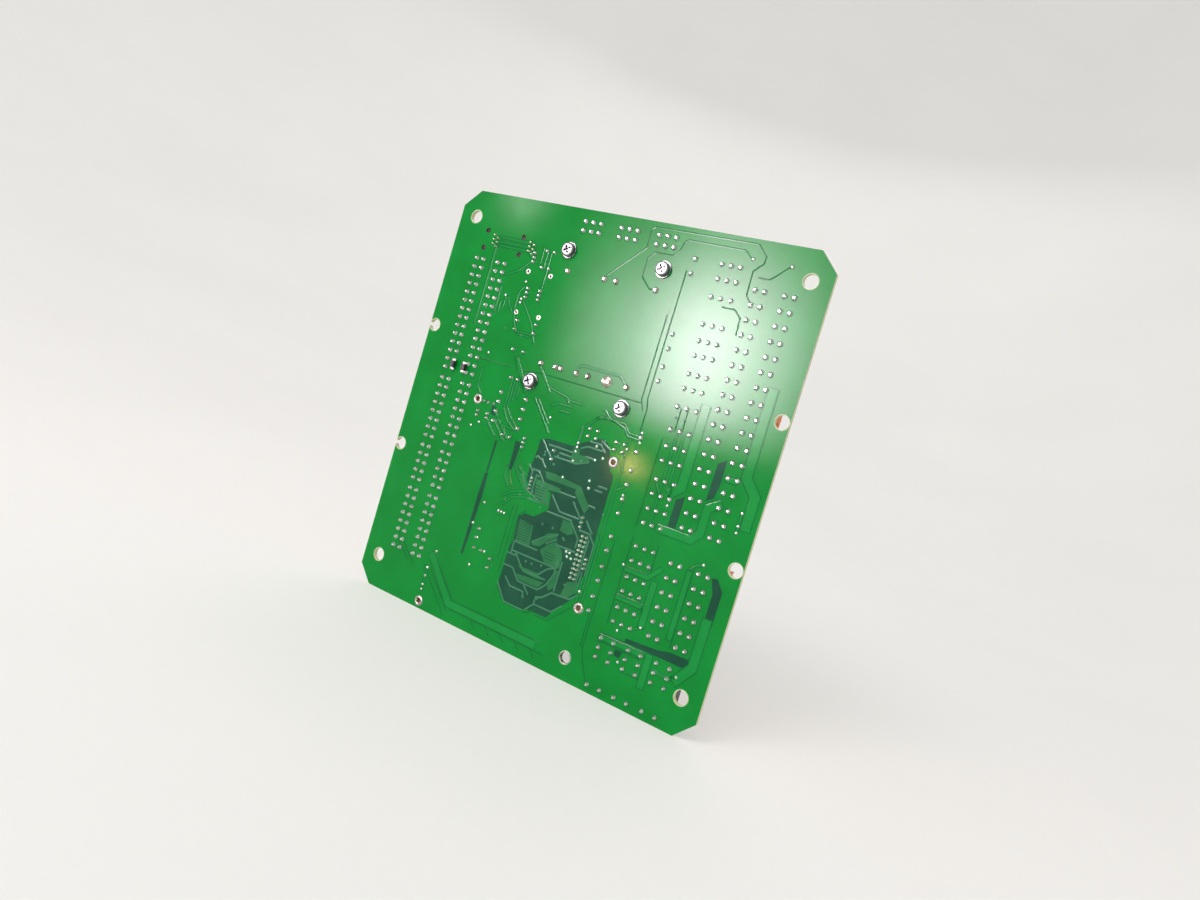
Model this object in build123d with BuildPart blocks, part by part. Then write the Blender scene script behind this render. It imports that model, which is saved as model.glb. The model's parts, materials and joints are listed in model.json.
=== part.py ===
from build123d import *
import os

# Controller mother board, built as it comes apart on a bench.
# +X runs to the right and +Z up across the board, seen from the solder side.
# The solder side is the plane Y = 0 and the components stand towards +Y.
# The origin is the centre of the four corner holes. All sizes are millimetres.

# ---------------------------------------------------------------- board
BOARD_WIDTH = 231.0
BOARD_HEIGHT = 244.0
BOARD_THICKNESS = 2.4
CORNER_CUT = 10.0
TOP_EDGE_Z = 120.25
CORNER_HOLE_SPACING_X = 208.5
CORNER_HOLE_SPACING_Z = 209.5
CORNER_HOLE_RADIUS = 3.75
SIDE_HOLE_RADIUS = 3.65
SIDE_HOLE_SPACING_Z = 74.0
LEFT_SIDE_HOLE_INSET = 3.5
RIGHT_SIDE_HOLE_INSET = 4.0
EARTH_HOLE = (152.5, 232.3)
EARTH_HOLE_RADIUS = 3.0
SPARE_HOLE_RADIUS = 0.6
PIN_TIP = 1.5
SOLDER_HEIGHT = 1.05
AIR = 0.1

# ---------------------------------------------------------------- pins
# Each kind of pin: half its width, the radius of its drilled hole, the radius of its solder pad.
POWER_PIN = (0.5, 0.78, 1.3)
RELAY_PIN = (0.4, 0.68, 1.2)
HEAVY_PIN = (0.6, 0.95, 1.6)
SMALL_PIN = (0.32, 0.52, 0.95)
FINE_PIN = (0.25, 0.42, 0.72)
LEG_PITCH = 5.08

# ---------------------------------------------------------------- parts on the board
# Places are measured from the board's left edge and down from its top edge.
TRANSFORMER_CENTRE = (112.0, 61.5)
TRANSFORMER_HOLES = (60.0, 75.0)
CORE_SIZE = (75.0, 90.0, 32.0)
CORE_WINDOW = (45.0, 15.0)
CORE_LIFT = 16.0
PRIMARY_PINS = (-27.3, -3.0, 4.3, 29.0)
SECONDARY_PINS = (-27.0, -17.0, -13.5, -3.0, 4.5, 15.0, 18.0, 29.0)
PIN_ROW_OFFSET = 26.25

COLUMN_RELAY_LEFT = 157.8
COLUMN_RELAYS_DOWN = (19.35, 59.0, 76.25, 114.15, 131.7, 147.15, 167.4, 183.8, 200.1)
ROW_RELAY_DOWN = 239.8
ROW_RELAYS_LEFT = (173.1, 189.45, 206.05)
RELAY_SIZE = (29.0, 12.7, 15.7)
RELAY_CONTACTS = (15.24, 20.32, 25.4)
RELAY_PIN_SPREAD = 3.81
RELAY_WALL = 0.8

TRANSISTOR_LEFT = 177.9
TRANSISTOR_PAIRS = ((32.5, 46.7), (89.8, 101.7))
TRANSISTOR_PITCH = 5.45
TRANSISTOR_SIZE = (15.9, 5.0, 20.8)
LEAD_TO_BACK = 2.4

SIGNAL_PITCH = 5.08
SIGNAL_FIRST_COLUMN = 20.4
POWER_PITCH = 7.62
POWER_FIRST_COLUMN = 194.0
LEVEL_SPACING = 15.8
POWER_LEVEL_SPACING = 15.5
# Each strip: the first way's distance from the top edge and the number of ways.
SIGNAL_STRIPS = ((39.0, 14), (111.6, 8), (153.3, 5), (180.1, 8))
POWER_STRIPS = ((24.8, 17), (165.3, 6))
MAINS_STRIPS_LEFT = (92.2, 115.5, 138.9)
MAINS_DOWN = (6.81, 11.89)

JACKS = ((26.2, 27.15), (52.5, 27.15))
JACK_SIZE = (13.0, 13.6, 16.0)
JACK_PEG_X = -3.5
JACK_PEG_SPREAD = 5.1
JACK_PIN_COLUMNS = (2.9, 5.6)
JACK_PIN_STEP = 1.27

STANDOFFS = ((50.0, 117.4), (146.4, 127.0), (151.7, 205.3), (49.9, 239.8))
SPARE_HOLES = ((58.7, 40.2), (74.4, 40.2), (58.6, 64.0), (74.5, 64.0))
HEADER_PITCH = 2.54
BUS_HEADER = (143.1, 180.5)
BUS_HEADER_ROWS = 10
# Three-way jumper strips, all running down the board.
JUMPERS = ((60.4, 31.85), (88.8, 132.6), (138.6, 162.4), (147.8, 182.3))
CAPPED_JUMPERS = JUMPERS[:2]
SOCKET_STRIP = (101.3, 152.3)
SOCKET_STRIP_PITCH = 2.0
BUTTONS = ((129.95, 115.95), (147.55, 118.35))
BUTTON_LEGS = (2.55, 2.05)
CHOKE = (73.6, 118.0)
CHOKE_LEGS_X = 8.9
CHOKE_LEG_PITCH = 5.6
CHOKE_BOARD = (20.4, 20.6, 3.0)
CHOKE_COIL = (13.0, 16.5, 9.0)
CHOKE_CORE = (20.0, 21.0, 6.0)
CHOKE_WINDOW = (13.4, 16.9)
CHOKE_LEG_WIDTH = 6.0
CHOKE_POST = (5.0, 5.0, 1.7)
CHOKE_MIDDLE = 9.0
CRYSTAL = (109.5, 133.7)
CRYSTAL_LEG = 2.5
CRYSTAL_CAN = (4.6, 11.0, 3.4)
CRYSTAL_CORNER = 2.2
REGULATOR = (58.0, 117.4)
REGULATOR_LEGS = (-3.6, -0.4, 3.7)
REGULATOR_LIFT = 3.5
REGULATOR_BODY = (10.0, 4.5, 9.2)
REGULATOR_TAB = (10.0, 1.3, 6.4)
# Radius of the tab's hole and its height on the tab.
REGULATOR_HOLE = (1.9, 3.5)
COUPLERS = ((56.2, 124.95, 3.55, 2), (66.55, 52.05, 4.35, 3))
PROCESSOR = (120.0, 188.0)
PROCESSOR_SIZE = (20.0, 20.0, 1.4)
# Round capacitors: place, half the leg spacing, direction of the legs, can radius, height.
CAPACITORS = (
    (68.0, 84.6, 3.7, "right", 6.3, 25.0),
    (70.45, 26.9, 2.5, "right", 4.0, 11.5),
    (69.85, 36.6, 2.5, "right", 4.0, 11.5),
    (61.35, 70.8, 2.5, "up", 4.0, 11.5),
    (74.65, 70.8, 2.5, "up", 4.0, 11.5),
    (70.85, 100.25, 2.5, "right", 4.0, 11.5),
    (76.35, 132.2, 2.7, "right", 3.4, 11.5),
    (76.5, 189.3, 2.5, "up", 5.0, 16.0),
    (89.5, 202.6, 2.5, "up", 5.0, 16.0),
    (79.6, 197.7, 2.5, "right", 3.2, 11.5),
)
# Small gull-wing packages: place, body length, body width, leads a side.
PACKAGES = (
    (60.5, 153.0, 9.9, 3.9, 8),
    (60.5, 165.0, 9.9, 3.9, 8),
    (60.5, 177.0, 9.9, 3.9, 8),
    (60.5, 189.0, 9.9, 3.9, 8),
    (41.5, 226.0, 9.9, 3.9, 8),
    (75.0, 226.0, 9.9, 3.9, 8),
    (150.0, 140.5, 9.9, 3.9, 8),
    (150.0, 160.0, 9.9, 3.9, 8),
    (150.0, 215.5, 9.9, 3.9, 8),
    (118.0, 160.0, 20.8, 10.2, 16),
    (98.0, 212.0, 12.8, 7.5, 10),
    (120.0, 212.0, 12.8, 7.5, 10),
    (92.0, 172.0, 9.9, 3.9, 8),
    (92.0, 186.0, 9.9, 3.9, 8),
)
CHIP_LIFT = 0.15
PACKAGE_HEIGHT = 1.6
COUPLER_LIFT = 0.5
COUPLER_HEIGHT = 3.2
PROCESSOR_LEADS = 22
FINE_LEAD_PITCH = 0.8
LEAD_PITCH = 1.27
LEAD_WIDTH = 0.5
FINE_LEAD_WIDTH = 0.32
LEAD_THICKNESS = 0.12
LEAD_KNEE_HEIGHT = 0.8
LEAD_REACH = (1.0, 0.25)
SOLDER_SIDE_DIODES = ((26.75, 102.55), (34.95, 102.55))

ON_BOARD = (Align.CENTER, Align.CENTER, Align.MIN)
BELOW = (Align.CENTER, Align.CENTER, Align.MAX)


# ---------------------------------------------------------------- placing
def on_board(from_left, from_top):
    """Board X and Z of a place measured from the left and top edges."""
    return (from_left - BOARD_WIDTH / 2, TOP_EDGE_Z - from_top)


def seat(from_left, from_top, along="right"):
    """Component-side place: local X runs right or up, local Z away from the board."""
    x, z = on_board(from_left, from_top)
    direction = {"right": (1, 0, 0), "up": (0, 0, 1), "left": (-1, 0, 0)}[along]
    plane = Plane(origin=(x, BOARD_THICKNESS, z), x_dir=direction, z_dir=(0, 1, 0))
    return plane.location


def steps(count, pitch):
    """Centred row of positions."""
    return [(index - (count - 1) / 2) * pitch for index in range(count)]


def strip_middle(first, count, pitch):
    return first + (count - 1) * pitch / 2


def finish(builder, name):
    builder.part.label = name
    export_step(builder.part, f"parts/{name}.step")


# ---------------------------------------------------------------- footprints
def grid(centre, columns, downs):
    return [(centre[0] + x, centre[1] + y) for x in columns for y in downs]


def terminal_legs(first_column, level_spacing, strips, pitch):
    legs = []
    for level in (0, level_spacing):
        for column in (first_column + level, first_column + level + LEG_PITCH):
            for first, count in strips:
                legs += [(column, first + index * pitch) for index in range(count)]
    return legs


def mains_legs():
    return [
        (left + x, down)
        for left in MAINS_STRIPS_LEFT
        for x in steps(3, SIGNAL_PITCH)
        for down in MAINS_DOWN
    ]


def relay_legs():
    across = (-RELAY_PIN_SPREAD, RELAY_PIN_SPREAD)
    legs = []
    for along in (0.0,) + RELAY_CONTACTS:
        for side in across:
            legs += [(COLUMN_RELAY_LEFT + along, down + side) for down in COLUMN_RELAYS_DOWN]
            legs += [(left + side, ROW_RELAY_DOWN - along) for left in ROW_RELAYS_LEFT]
    return legs


def transformer_legs():
    left, down = TRANSFORMER_CENTRE
    legs = [(left + x, down - PIN_ROW_OFFSET) for x in PRIMARY_PINS]
    legs += [(left + x, down + PIN_ROW_OFFSET) for x in SECONDARY_PINS]
    return legs


def transistor_legs():
    downs = [down for pair in TRANSISTOR_PAIRS for down in pair]
    return [(TRANSISTOR_LEFT + x, down) for x in steps(3, TRANSISTOR_PITCH) for down in downs]


def jack_legs():
    """Six contacts a jack, stepping to and fro between two columns."""
    legs = []
    for left, down in JACKS:
        for index, step in enumerate(steps(6, JACK_PIN_STEP)):
            legs.append((left + JACK_PIN_COLUMNS[index % 2], down + step))
    return legs


def bus_legs():
    return grid(BUS_HEADER, steps(2, HEADER_PITCH), steps(BUS_HEADER_ROWS, HEADER_PITCH))


def jumper_legs():
    return [leg for place in JUMPERS for leg in grid(place, (0,), steps(3, HEADER_PITCH))]


def socket_legs():
    return grid(SOCKET_STRIP, (0,), steps(4, SOCKET_STRIP_PITCH))


def button_legs():
    x, y = BUTTON_LEGS
    return [leg for place in BUTTONS for leg in grid(place, (-x, x), (-y, y))]


def choke_legs():
    return grid(CHOKE, (-CHOKE_LEGS_X, CHOKE_LEGS_X), steps(4, CHOKE_LEG_PITCH))


def capacitor_legs():
    legs = []
    for left, down, half, along, *_ in CAPACITORS:
        x, y = (half, 0) if along == "right" else (0, half)
        legs += [(left - x, down - y), (left + x, down + y)]
    return legs


def coupler_legs():
    legs = []
    for left, down, half, rows in COUPLERS:
        legs += grid((left, down), (-half, half), steps(rows, HEADER_PITCH))
    return legs


def regulator_legs():
    return grid(REGULATOR, REGULATOR_LEGS, (0,))


def crystal_legs():
    return grid(CRYSTAL, (0,), (-CRYSTAL_LEG, CRYSTAL_LEG))


SIGNAL_LEGS = terminal_legs(SIGNAL_FIRST_COLUMN, LEVEL_SPACING, SIGNAL_STRIPS, SIGNAL_PITCH)
POWER_LEGS = terminal_legs(POWER_FIRST_COLUMN, POWER_LEVEL_SPACING, POWER_STRIPS, POWER_PITCH)
LEGS = (
    (POWER_PIN, SIGNAL_LEGS + POWER_LEGS + mains_legs()),
    (RELAY_PIN, relay_legs() + transistor_legs() + choke_legs()),
    (HEAVY_PIN, transformer_legs()),
    (SMALL_PIN, bus_legs() + jumper_legs() + button_legs() + capacitor_legs()),
    (SMALL_PIN, coupler_legs() + regulator_legs() + crystal_legs()),
    (FINE_PIN, jack_legs() + socket_legs()),
)


def posts(legs, kind, high):
    """Square pins from the solder side's tips up to a height above the component side."""
    width = 2 * kind[0]
    low = -BOARD_THICKNESS - PIN_TIP
    with Locations(*[seat(*leg) * Location((0, 0, low)) for leg in legs]):
        Box(width, width, high - low, align=ON_BOARD)


# ---------------------------------------------------------------- board and solder
def board_outline_holes():
    half_x = CORNER_HOLE_SPACING_X / 2
    half_z = CORNER_HOLE_SPACING_Z / 2
    with Locations([(x, z) for x in (-half_x, half_x) for z in (-half_z, half_z)]):
        Circle(CORNER_HOLE_RADIUS, mode=Mode.SUBTRACT)
    left = -BOARD_WIDTH / 2 + LEFT_SIDE_HOLE_INSET
    right = BOARD_WIDTH / 2 - RIGHT_SIDE_HOLE_INSET
    half = SIDE_HOLE_SPACING_Z / 2
    with Locations([(x, z) for x in (left, right) for z in (-half, half)]):
        Circle(SIDE_HOLE_RADIUS, mode=Mode.SUBTRACT)


def circuit_board():
    middle_z = TOP_EDGE_Z - BOARD_HEIGHT / 2
    with BuildPart() as board:
        with BuildSketch(Plane.XZ):
            with Locations((0, middle_z)):
                Rectangle(BOARD_WIDTH, BOARD_HEIGHT)
            corners = vertices()
            chamfer(corners, CORNER_CUT)
            board_outline_holes()
            with Locations(on_board(*EARTH_HOLE)):
                Circle(EARTH_HOLE_RADIUS, mode=Mode.SUBTRACT)
            with Locations([on_board(*place) for place in SPARE_HOLES]):
                Circle(SPARE_HOLE_RADIUS, mode=Mode.SUBTRACT)
            with Locations([on_board(*place) for place in STANDOFFS]):
                Circle(STANDOFF_SHANK + AIR / 2, mode=Mode.SUBTRACT)
            for kind, legs in LEGS:
                with Locations([on_board(*leg) for leg in legs]):
                    Circle(kind[1], mode=Mode.SUBTRACT)
            with Locations(transformer_screw_places()):
                Circle(SCREW_RADIUS + 2 * AIR, mode=Mode.SUBTRACT)
            with Locations(jack_peg_places()):
                Circle(JACK_PEG_RADIUS + AIR, mode=Mode.SUBTRACT)
        extrude(amount=-BOARD_THICKNESS)
    finish(board, "circuit_board")


def solder_joints():
    """One solder cone round each pin, on the solder side."""
    with BuildPart() as solder:
        for kind, legs in LEGS:
            bore = 1.42 * kind[0]
            with Locations(*[seat(*leg) * Location((0, 0, -BOARD_THICKNESS)) for leg in legs]):
                Cone(bore + 0.15, kind[2], SOLDER_HEIGHT, align=BELOW)
        for kind, legs in LEGS:
            bore = 1.42 * kind[0]
            with Locations(*[seat(*leg) * Location((0, 0, -BOARD_THICKNESS)) for leg in legs]):
                Cylinder(bore, SOLDER_HEIGHT, align=BELOW, mode=Mode.SUBTRACT)
    finish(solder, "solder_joints")


# ---------------------------------------------------------------- transformer
SCREW_RADIUS = 2.0
SCREW_HEAD_RADIUS = 3.9
SCREW_HEAD_HEIGHT = 2.6
WASHER_RADIUS = 4.5
WASHER_THICKNESS = 0.8
NUT_HEIGHT = 3.2
NUT_RADIUS = 4.04
SPACER_RADIUS = 4.0
RECESS_WIDTH = 1.1
RECESS_LENGTH = 4.6
RECESS_DEPTH = 1.6
WINDING_DEPTH = 12.5
BOBBIN_WALL = 1.2
LEG_WIDTH = 30.0
FLANGE_REACH = 29.0
PIN_BOARD = (66.0, 58.6, 2.0)
PIN_BOARD_HOLE = (2 * HEAVY_PIN[0] + AIR, 2 * HEAVY_PIN[0] + AIR, 12.0)
WINDING_CORNER = 6.0
RECESS_TURNS = (28.0, 118.0)


def transformer_screw_places():
    left, down = TRANSFORMER_CENTRE
    x, z = on_board(left, down)
    half_x, half_z = TRANSFORMER_HOLES[0] / 2, TRANSFORMER_HOLES[1] / 2
    return [(x + i, z + j) for i in (-half_x, half_x) for j in (-half_z, half_z)]


def transformer_corners():
    return GridLocations(TRANSFORMER_HOLES[0], TRANSFORMER_HOLES[1], 2, 2)


def transformer_core():
    width, length, stack = CORE_SIZE
    with BuildPart() as core:
        with Locations(seat(*TRANSFORMER_CENTRE)):
            with Locations((0, 0, CORE_LIFT)):
                Box(width, length, stack, align=ON_BOARD)
            window_y = (LEG_WIDTH + CORE_WINDOW[1]) / 2
            with Locations((0, window_y, CORE_LIFT), (0, -window_y, CORE_LIFT)):
                Box(*CORE_WINDOW, stack, align=ON_BOARD, mode=Mode.SUBTRACT)
            with Locations((0, 0, CORE_LIFT)):
                with transformer_corners():
                    Cylinder(SCREW_RADIUS + 2 * AIR, stack, align=ON_BOARD, mode=Mode.SUBTRACT)
    finish(core, "transformer_core")


def transformer_bobbin():
    stack = CORE_SIZE[2]
    middle = CORE_LIFT + stack / 2
    flange_x = CORE_WINDOW[0] / 2 - AIR - BOBBIN_WALL / 2
    flange_size = (BOBBIN_WALL, 2 * FLANGE_REACH, stack + 2 * WINDING_DEPTH + 2 * BOBBIN_WALL)
    with BuildPart() as bobbin:
        with Locations(seat(*TRANSFORMER_CENTRE)):
            with Locations((-flange_x, 0, middle), (flange_x, 0, middle)):
                Box(*flange_size)
            with Locations((0, 0, middle)):
                Box(2 * flange_x, LEG_WIDTH + 2 * BOBBIN_WALL, stack + 2 * BOBBIN_WALL)
            with Locations((0, 0, middle - flange_size[2] / 2)):
                Box(*PIN_BOARD, align=BELOW)
            with Locations((0, 0, middle)):
                Box(2 * CORE_SIZE[0], LEG_WIDTH + AIR, stack + AIR, mode=Mode.SUBTRACT)
            for places, side in ((PRIMARY_PINS, -1), (SECONDARY_PINS, 1)):
                with Locations([(x, side * PIN_ROW_OFFSET, 0) for x in places]):
                    Box(*PIN_BOARD_HOLE, mode=Mode.SUBTRACT)
    finish(bobbin, "transformer_bobbin")


def transformer_windings():
    """Primary and secondary coils side by side on the centre leg."""
    stack = CORE_SIZE[2]
    middle = CORE_LIFT + stack / 2
    coil_length = CORE_WINDOW[0] / 2 - BOBBIN_WALL - 0.8
    outer = (coil_length, 2 * FLANGE_REACH - 1.2, stack + 2 * WINDING_DEPTH)
    inner = (coil_length, LEG_WIDTH + 2 * BOBBIN_WALL, stack + 2 * BOBBIN_WALL)
    with BuildPart() as coils:
        with Locations(seat(*TRANSFORMER_CENTRE)):
            for side in (-1, 1):
                with Locations((side * (coil_length / 2 + 0.4), 0, middle)):
                    Box(*outer)
        fillet(coils.edges().filter_by(Axis.X), WINDING_CORNER)
        with Locations(seat(*TRANSFORMER_CENTRE)):
            with Locations((0, 0, middle)):
                Box(3 * inner[0], inner[1], inner[2], mode=Mode.SUBTRACT)
    finish(coils, "transformer_windings")


def transformer_pins():
    with BuildPart() as pins:
        posts(transformer_legs(), HEAVY_PIN, 2.4)
    finish(pins, "transformer_pins")


def transformer_spacers():
    with BuildPart() as spacers:
        with Locations(seat(*TRANSFORMER_CENTRE)):
            with transformer_corners():
                Cylinder(SPACER_RADIUS, CORE_LIFT, align=ON_BOARD)
                Cylinder(
                    SCREW_RADIUS + 2 * AIR, CORE_LIFT, align=ON_BOARD, mode=Mode.SUBTRACT
                )
    finish(spacers, "transformer_spacers")


def screw_levels():
    """Heights above the component side: head's seat, core's top washer, nut's foot."""
    head_seat = -BOARD_THICKNESS - WASHER_THICKNESS
    core_top = CORE_LIFT + CORE_SIZE[2]
    return head_seat, core_top, core_top + WASHER_THICKNESS


def transformer_screws():
    head_seat, _, nut_foot = screw_levels()
    shank = nut_foot + NUT_HEIGHT + 2.0 - head_seat
    with BuildPart() as screws:
        with Locations(seat(*TRANSFORMER_CENTRE)):
            with Locations((0, 0, head_seat)):
                with transformer_corners():
                    Cylinder(SCREW_RADIUS, shank, align=ON_BOARD)
                    Cylinder(SCREW_HEAD_RADIUS, SCREW_HEAD_HEIGHT, align=BELOW)
        face_y = -(WASHER_THICKNESS + SCREW_HEAD_HEIGHT)
        rims = screws.edges().filter_by(GeomType.CIRCLE).group_by(Axis.Y)[0]
        fillet(rims, 1.1)
        with BuildSketch(Plane.XZ.offset(-face_y)):
            with Locations(transformer_screw_places()):
                for turn in RECESS_TURNS:
                    Rectangle(RECESS_LENGTH, RECESS_WIDTH, rotation=turn)
        extrude(amount=-RECESS_DEPTH, mode=Mode.SUBTRACT)
    finish(screws, "transformer_screws")



def transformer_washers():
    head_seat, core_top, _ = screw_levels()
    with BuildPart() as washers:
        with Locations(seat(*TRANSFORMER_CENTRE)):
            with Locations((0, 0, head_seat), (0, 0, core_top)):
                with transformer_corners():
                    Cylinder(WASHER_RADIUS, WASHER_THICKNESS, align=ON_BOARD)
                    Cylinder(
                        SCREW_RADIUS + AIR,
                        WASHER_THICKNESS,
                        align=ON_BOARD,
                        mode=Mode.SUBTRACT,
                    )
    finish(washers, "transformer_washers")


def transformer_nuts():
    _, _, nut_foot = screw_levels()
    nut_y = BOARD_THICKNESS + nut_foot
    with BuildPart() as nuts:
        with BuildSketch(Plane.XZ.offset(-nut_y)):
            with Locations(transformer_screw_places()):
                RegularPolygon(NUT_RADIUS, 6)
                Circle(SCREW_RADIUS, mode=Mode.SUBTRACT)
        extrude(amount=-NUT_HEIGHT)
    finish(nuts, "transformer_nuts")


# ---------------------------------------------------------------- relays
RELAY_FOOT = 0.3
RELAY_BASE_HEIGHT = 1.8
RELAY_END = 1.8
COIL_X = 6.2
COIL_RADIUS = 4.6
COIL_CORE_RADIUS = 1.8
COIL_TOP = 11.6
YOKE_X = 12.6
YOKE_THICKNESS = 1.2
YOKE_TOP = 12.7
ARMATURE_THICKNESS = 1.0


def relay_seats(low):
    """Place of every relay, local X from the coil end to the contact end."""
    seats = [seat(COLUMN_RELAY_LEFT, down) for down in COLUMN_RELAYS_DOWN]
    seats += [seat(left, ROW_RELAY_DOWN, "up") for left in ROW_RELAYS_LEFT]
    return [place * Location((0, 0, low)) for place in seats]


def relay_pin_holes():
    across = (-RELAY_PIN_SPREAD, RELAY_PIN_SPREAD)
    return [(along, side) for along in (0.0,) + RELAY_CONTACTS for side in across]


def relay_bases():
    length, width, _ = RELAY_SIZE
    inner = 2 * (RELAY_WALL + AIR)
    hole = 2 * RELAY_PIN[0] + AIR
    with BuildPart() as bases:
        with Locations(*relay_seats(RELAY_FOOT)):
            with Locations((length / 2 - RELAY_END, 0, 0)):
                Box(length - inner, width - inner, RELAY_BASE_HEIGHT, align=ON_BOARD)
            with Locations(*relay_pin_holes()):
                Box(hole, hole, RELAY_BASE_HEIGHT, align=ON_BOARD, mode=Mode.SUBTRACT)
    finish(bases, "relay_bases")


def relay_covers():
    length, width, height = RELAY_SIZE
    middle = length / 2 - RELAY_END
    with BuildPart() as covers:
        with Locations(*relay_seats(RELAY_FOOT)):
            with Locations((middle, 0, 0)):
                Box(length, width, height, align=ON_BOARD)
        fillet(covers.edges().filter_by(Axis.Y), 0.8)
        fillet(covers.faces().filter_by(Plane.XZ).group_by(Axis.Y)[-1].edges(), 0.5)
        with Locations(*relay_seats(RELAY_FOOT)):
            with Locations((middle, 0, 0)):
                Box(
                    length - 2 * RELAY_WALL,
                    width - 2 * RELAY_WALL,
                    height - RELAY_WALL,
                    align=ON_BOARD,
                    mode=Mode.SUBTRACT,
                )
    finish(covers, "relay_covers")


def relay_yokes():
    """Iron circuit: foot, upright and coil core."""
    foot = RELAY_FOOT + RELAY_BASE_HEIGHT
    foot_length = YOKE_X + YOKE_THICKNESS / 2 - 0.6
    with BuildPart() as yokes:
        with Locations(*relay_seats(foot)):
            with Locations((0.6 + foot_length / 2, 0, 0)):
                Box(foot_length, 6.4, YOKE_THICKNESS, align=ON_BOARD)
            with Locations((YOKE_X, 0, 0)):
                Box(YOKE_THICKNESS, 9.0, YOKE_TOP - foot, align=ON_BOARD)
            with Locations((COIL_X, 0, 0)):
                Cylinder(COIL_CORE_RADIUS, COIL_TOP - foot, align=ON_BOARD)
            with Locations((COIL_X, 0, COIL_TOP - foot)):
                Cylinder(3.0, 0.6, align=ON_BOARD)
    finish(yokes, "relay_yokes")



def relay_coils():
    low = RELAY_FOOT + RELAY_BASE_HEIGHT + YOKE_THICKNESS
    with BuildPart() as coils:
        with Locations(*relay_seats(low)):
            with Locations((COIL_X, 0, 0)):
                Cylinder(COIL_RADIUS, COIL_TOP - low, align=ON_BOARD)
                Cylinder(
                    COIL_CORE_RADIUS, COIL_TOP - low, align=ON_BOARD, mode=Mode.SUBTRACT
                )
    finish(coils, "relay_coils")


def relay_pins():
    low = -BOARD_THICKNESS - PIN_TIP
    width = 2 * RELAY_PIN[0]
    with BuildPart() as pins:
        with Locations(*relay_seats(low)):
            with Locations(*relay_pin_holes()[:2]):
                Box(width, width, 5.0 - low, align=ON_BOARD)
            with Locations(*relay_pin_holes()[2:]):
                Box(width, width, 11.5 - low, align=ON_BOARD)
    finish(pins, "relay_pins")


def relay_armatures(name, seats):
    """Armature plate over the coil with an arm that bears on the contacts."""
    low = YOKE_TOP + AIR
    plate_end = 2.0
    arm_end = 14.3
    with BuildPart() as armatures:
        with Locations(*[place * Location((0, 0, low)) for place in seats]):
            with Locations(((plate_end + arm_end) / 2, 0, 0)):
                Box(arm_end - plate_end, 8.0, ARMATURE_THICKNESS, align=ON_BOARD)
            with Locations((arm_end - 0.4, 0, 0)):
                Box(0.8, 5.0, 6.5, align=BELOW)
    finish(armatures, name)


# ---------------------------------------------------------------- power transistors
def transistor_face(pair):
    """Middle of the heatsink and its thickness for a back-to-back pair."""
    upper, lower = pair
    return (upper + lower) / 2, (lower - upper) - 2 * LEAD_TO_BACK


def power_transistors():
    width, thickness, height = TRANSISTOR_SIZE
    with BuildPart() as bodies:
        for pair in TRANSISTOR_PAIRS:
            middle, gap = transistor_face(pair)
            with Locations(seat(TRANSISTOR_LEFT, middle)):
                for side in (-1, 1):
                    with Locations((0, side * (gap + thickness) / 2, 4.0)):
                        Box(width, thickness, height, align=ON_BOARD)
                with Locations((0, 0, TRANSISTOR_HOLE)):
                    Cylinder(
                        1.8, gap + 4 * thickness, rotation=(90, 0, 0), mode=Mode.SUBTRACT
                    )
        fillet(bodies.edges().filter_by(Axis.Y), 0.6)
    finish(bodies, "power_transistors")


TRANSISTOR_HOLE = 19.5


def transistor_leads():
    with BuildPart() as leads:
        posts(transistor_legs(), RELAY_PIN, 4.0)
    finish(leads, "transistor_leads")


def heatsinks():
    """Extruded block between each pair, with fins running out to one side."""
    fin_length = 13.0
    with BuildPart() as sinks:
        for pair in TRANSISTOR_PAIRS:
            middle, gap = transistor_face(pair)
            with Locations(seat(TRANSISTOR_LEFT, middle)):
                with Locations((0, 0, 0.5)):
                    Box(17.0, gap, 34.0, align=ON_BOARD)
                fin_count = 3
                fin = gap / (2 * fin_count - 1)
                with Locations([(-8.5 - fin_length / 2, y, 0.5) for y in steps(fin_count, 2 * fin)]):
                    Box(fin_length, fin, 34.0, align=ON_BOARD)
                with Locations((0, 0, TRANSISTOR_HOLE)):
                    Cylinder(1.7, 2 * gap, rotation=(90, 0, 0), mode=Mode.SUBTRACT)
    finish(sinks, "heatsinks")


def heatsink_fasteners():
    """One long screw through each pair, with a nut round its end."""
    thickness = TRANSISTOR_SIZE[1]
    with BuildPart() as fasteners:
        for pair in TRANSISTOR_PAIRS:
            middle, gap = transistor_face(pair)
            half = gap / 2 + thickness
            with Locations(seat(TRANSISTOR_LEFT, middle) * Location((0, 0, TRANSISTOR_HOLE))):
                with Locations((0, 1.0, 0)):
                    Cylinder(FIXING_RADIUS, 2 * half + 2.0, rotation=(90, 0, 0))
                with Locations((0, -half - FIXING_HEAD[1] / 2, 0)):
                    Cylinder(*FIXING_HEAD, rotation=(90, 0, 0))
        for pair in TRANSISTOR_PAIRS:
            middle, gap = transistor_face(pair)
            x, z = on_board(TRANSISTOR_LEFT, middle)
            nut_face = z - gap / 2 - thickness
            with BuildSketch(Plane.XY.offset(nut_face)):
                with Locations((x, BOARD_THICKNESS + TRANSISTOR_HOLE)):
                    RegularPolygon(FIXING_HEAD[0], 6)
                    Circle(FIXING_RADIUS + AIR / 2, mode=Mode.SUBTRACT)
            extrude(amount=-FIXING_HEAD[1])
    finish(fasteners, "heatsink_fasteners")


FIXING_RADIUS = 1.5
FIXING_HEAD = (2.8, 1.8)


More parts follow.
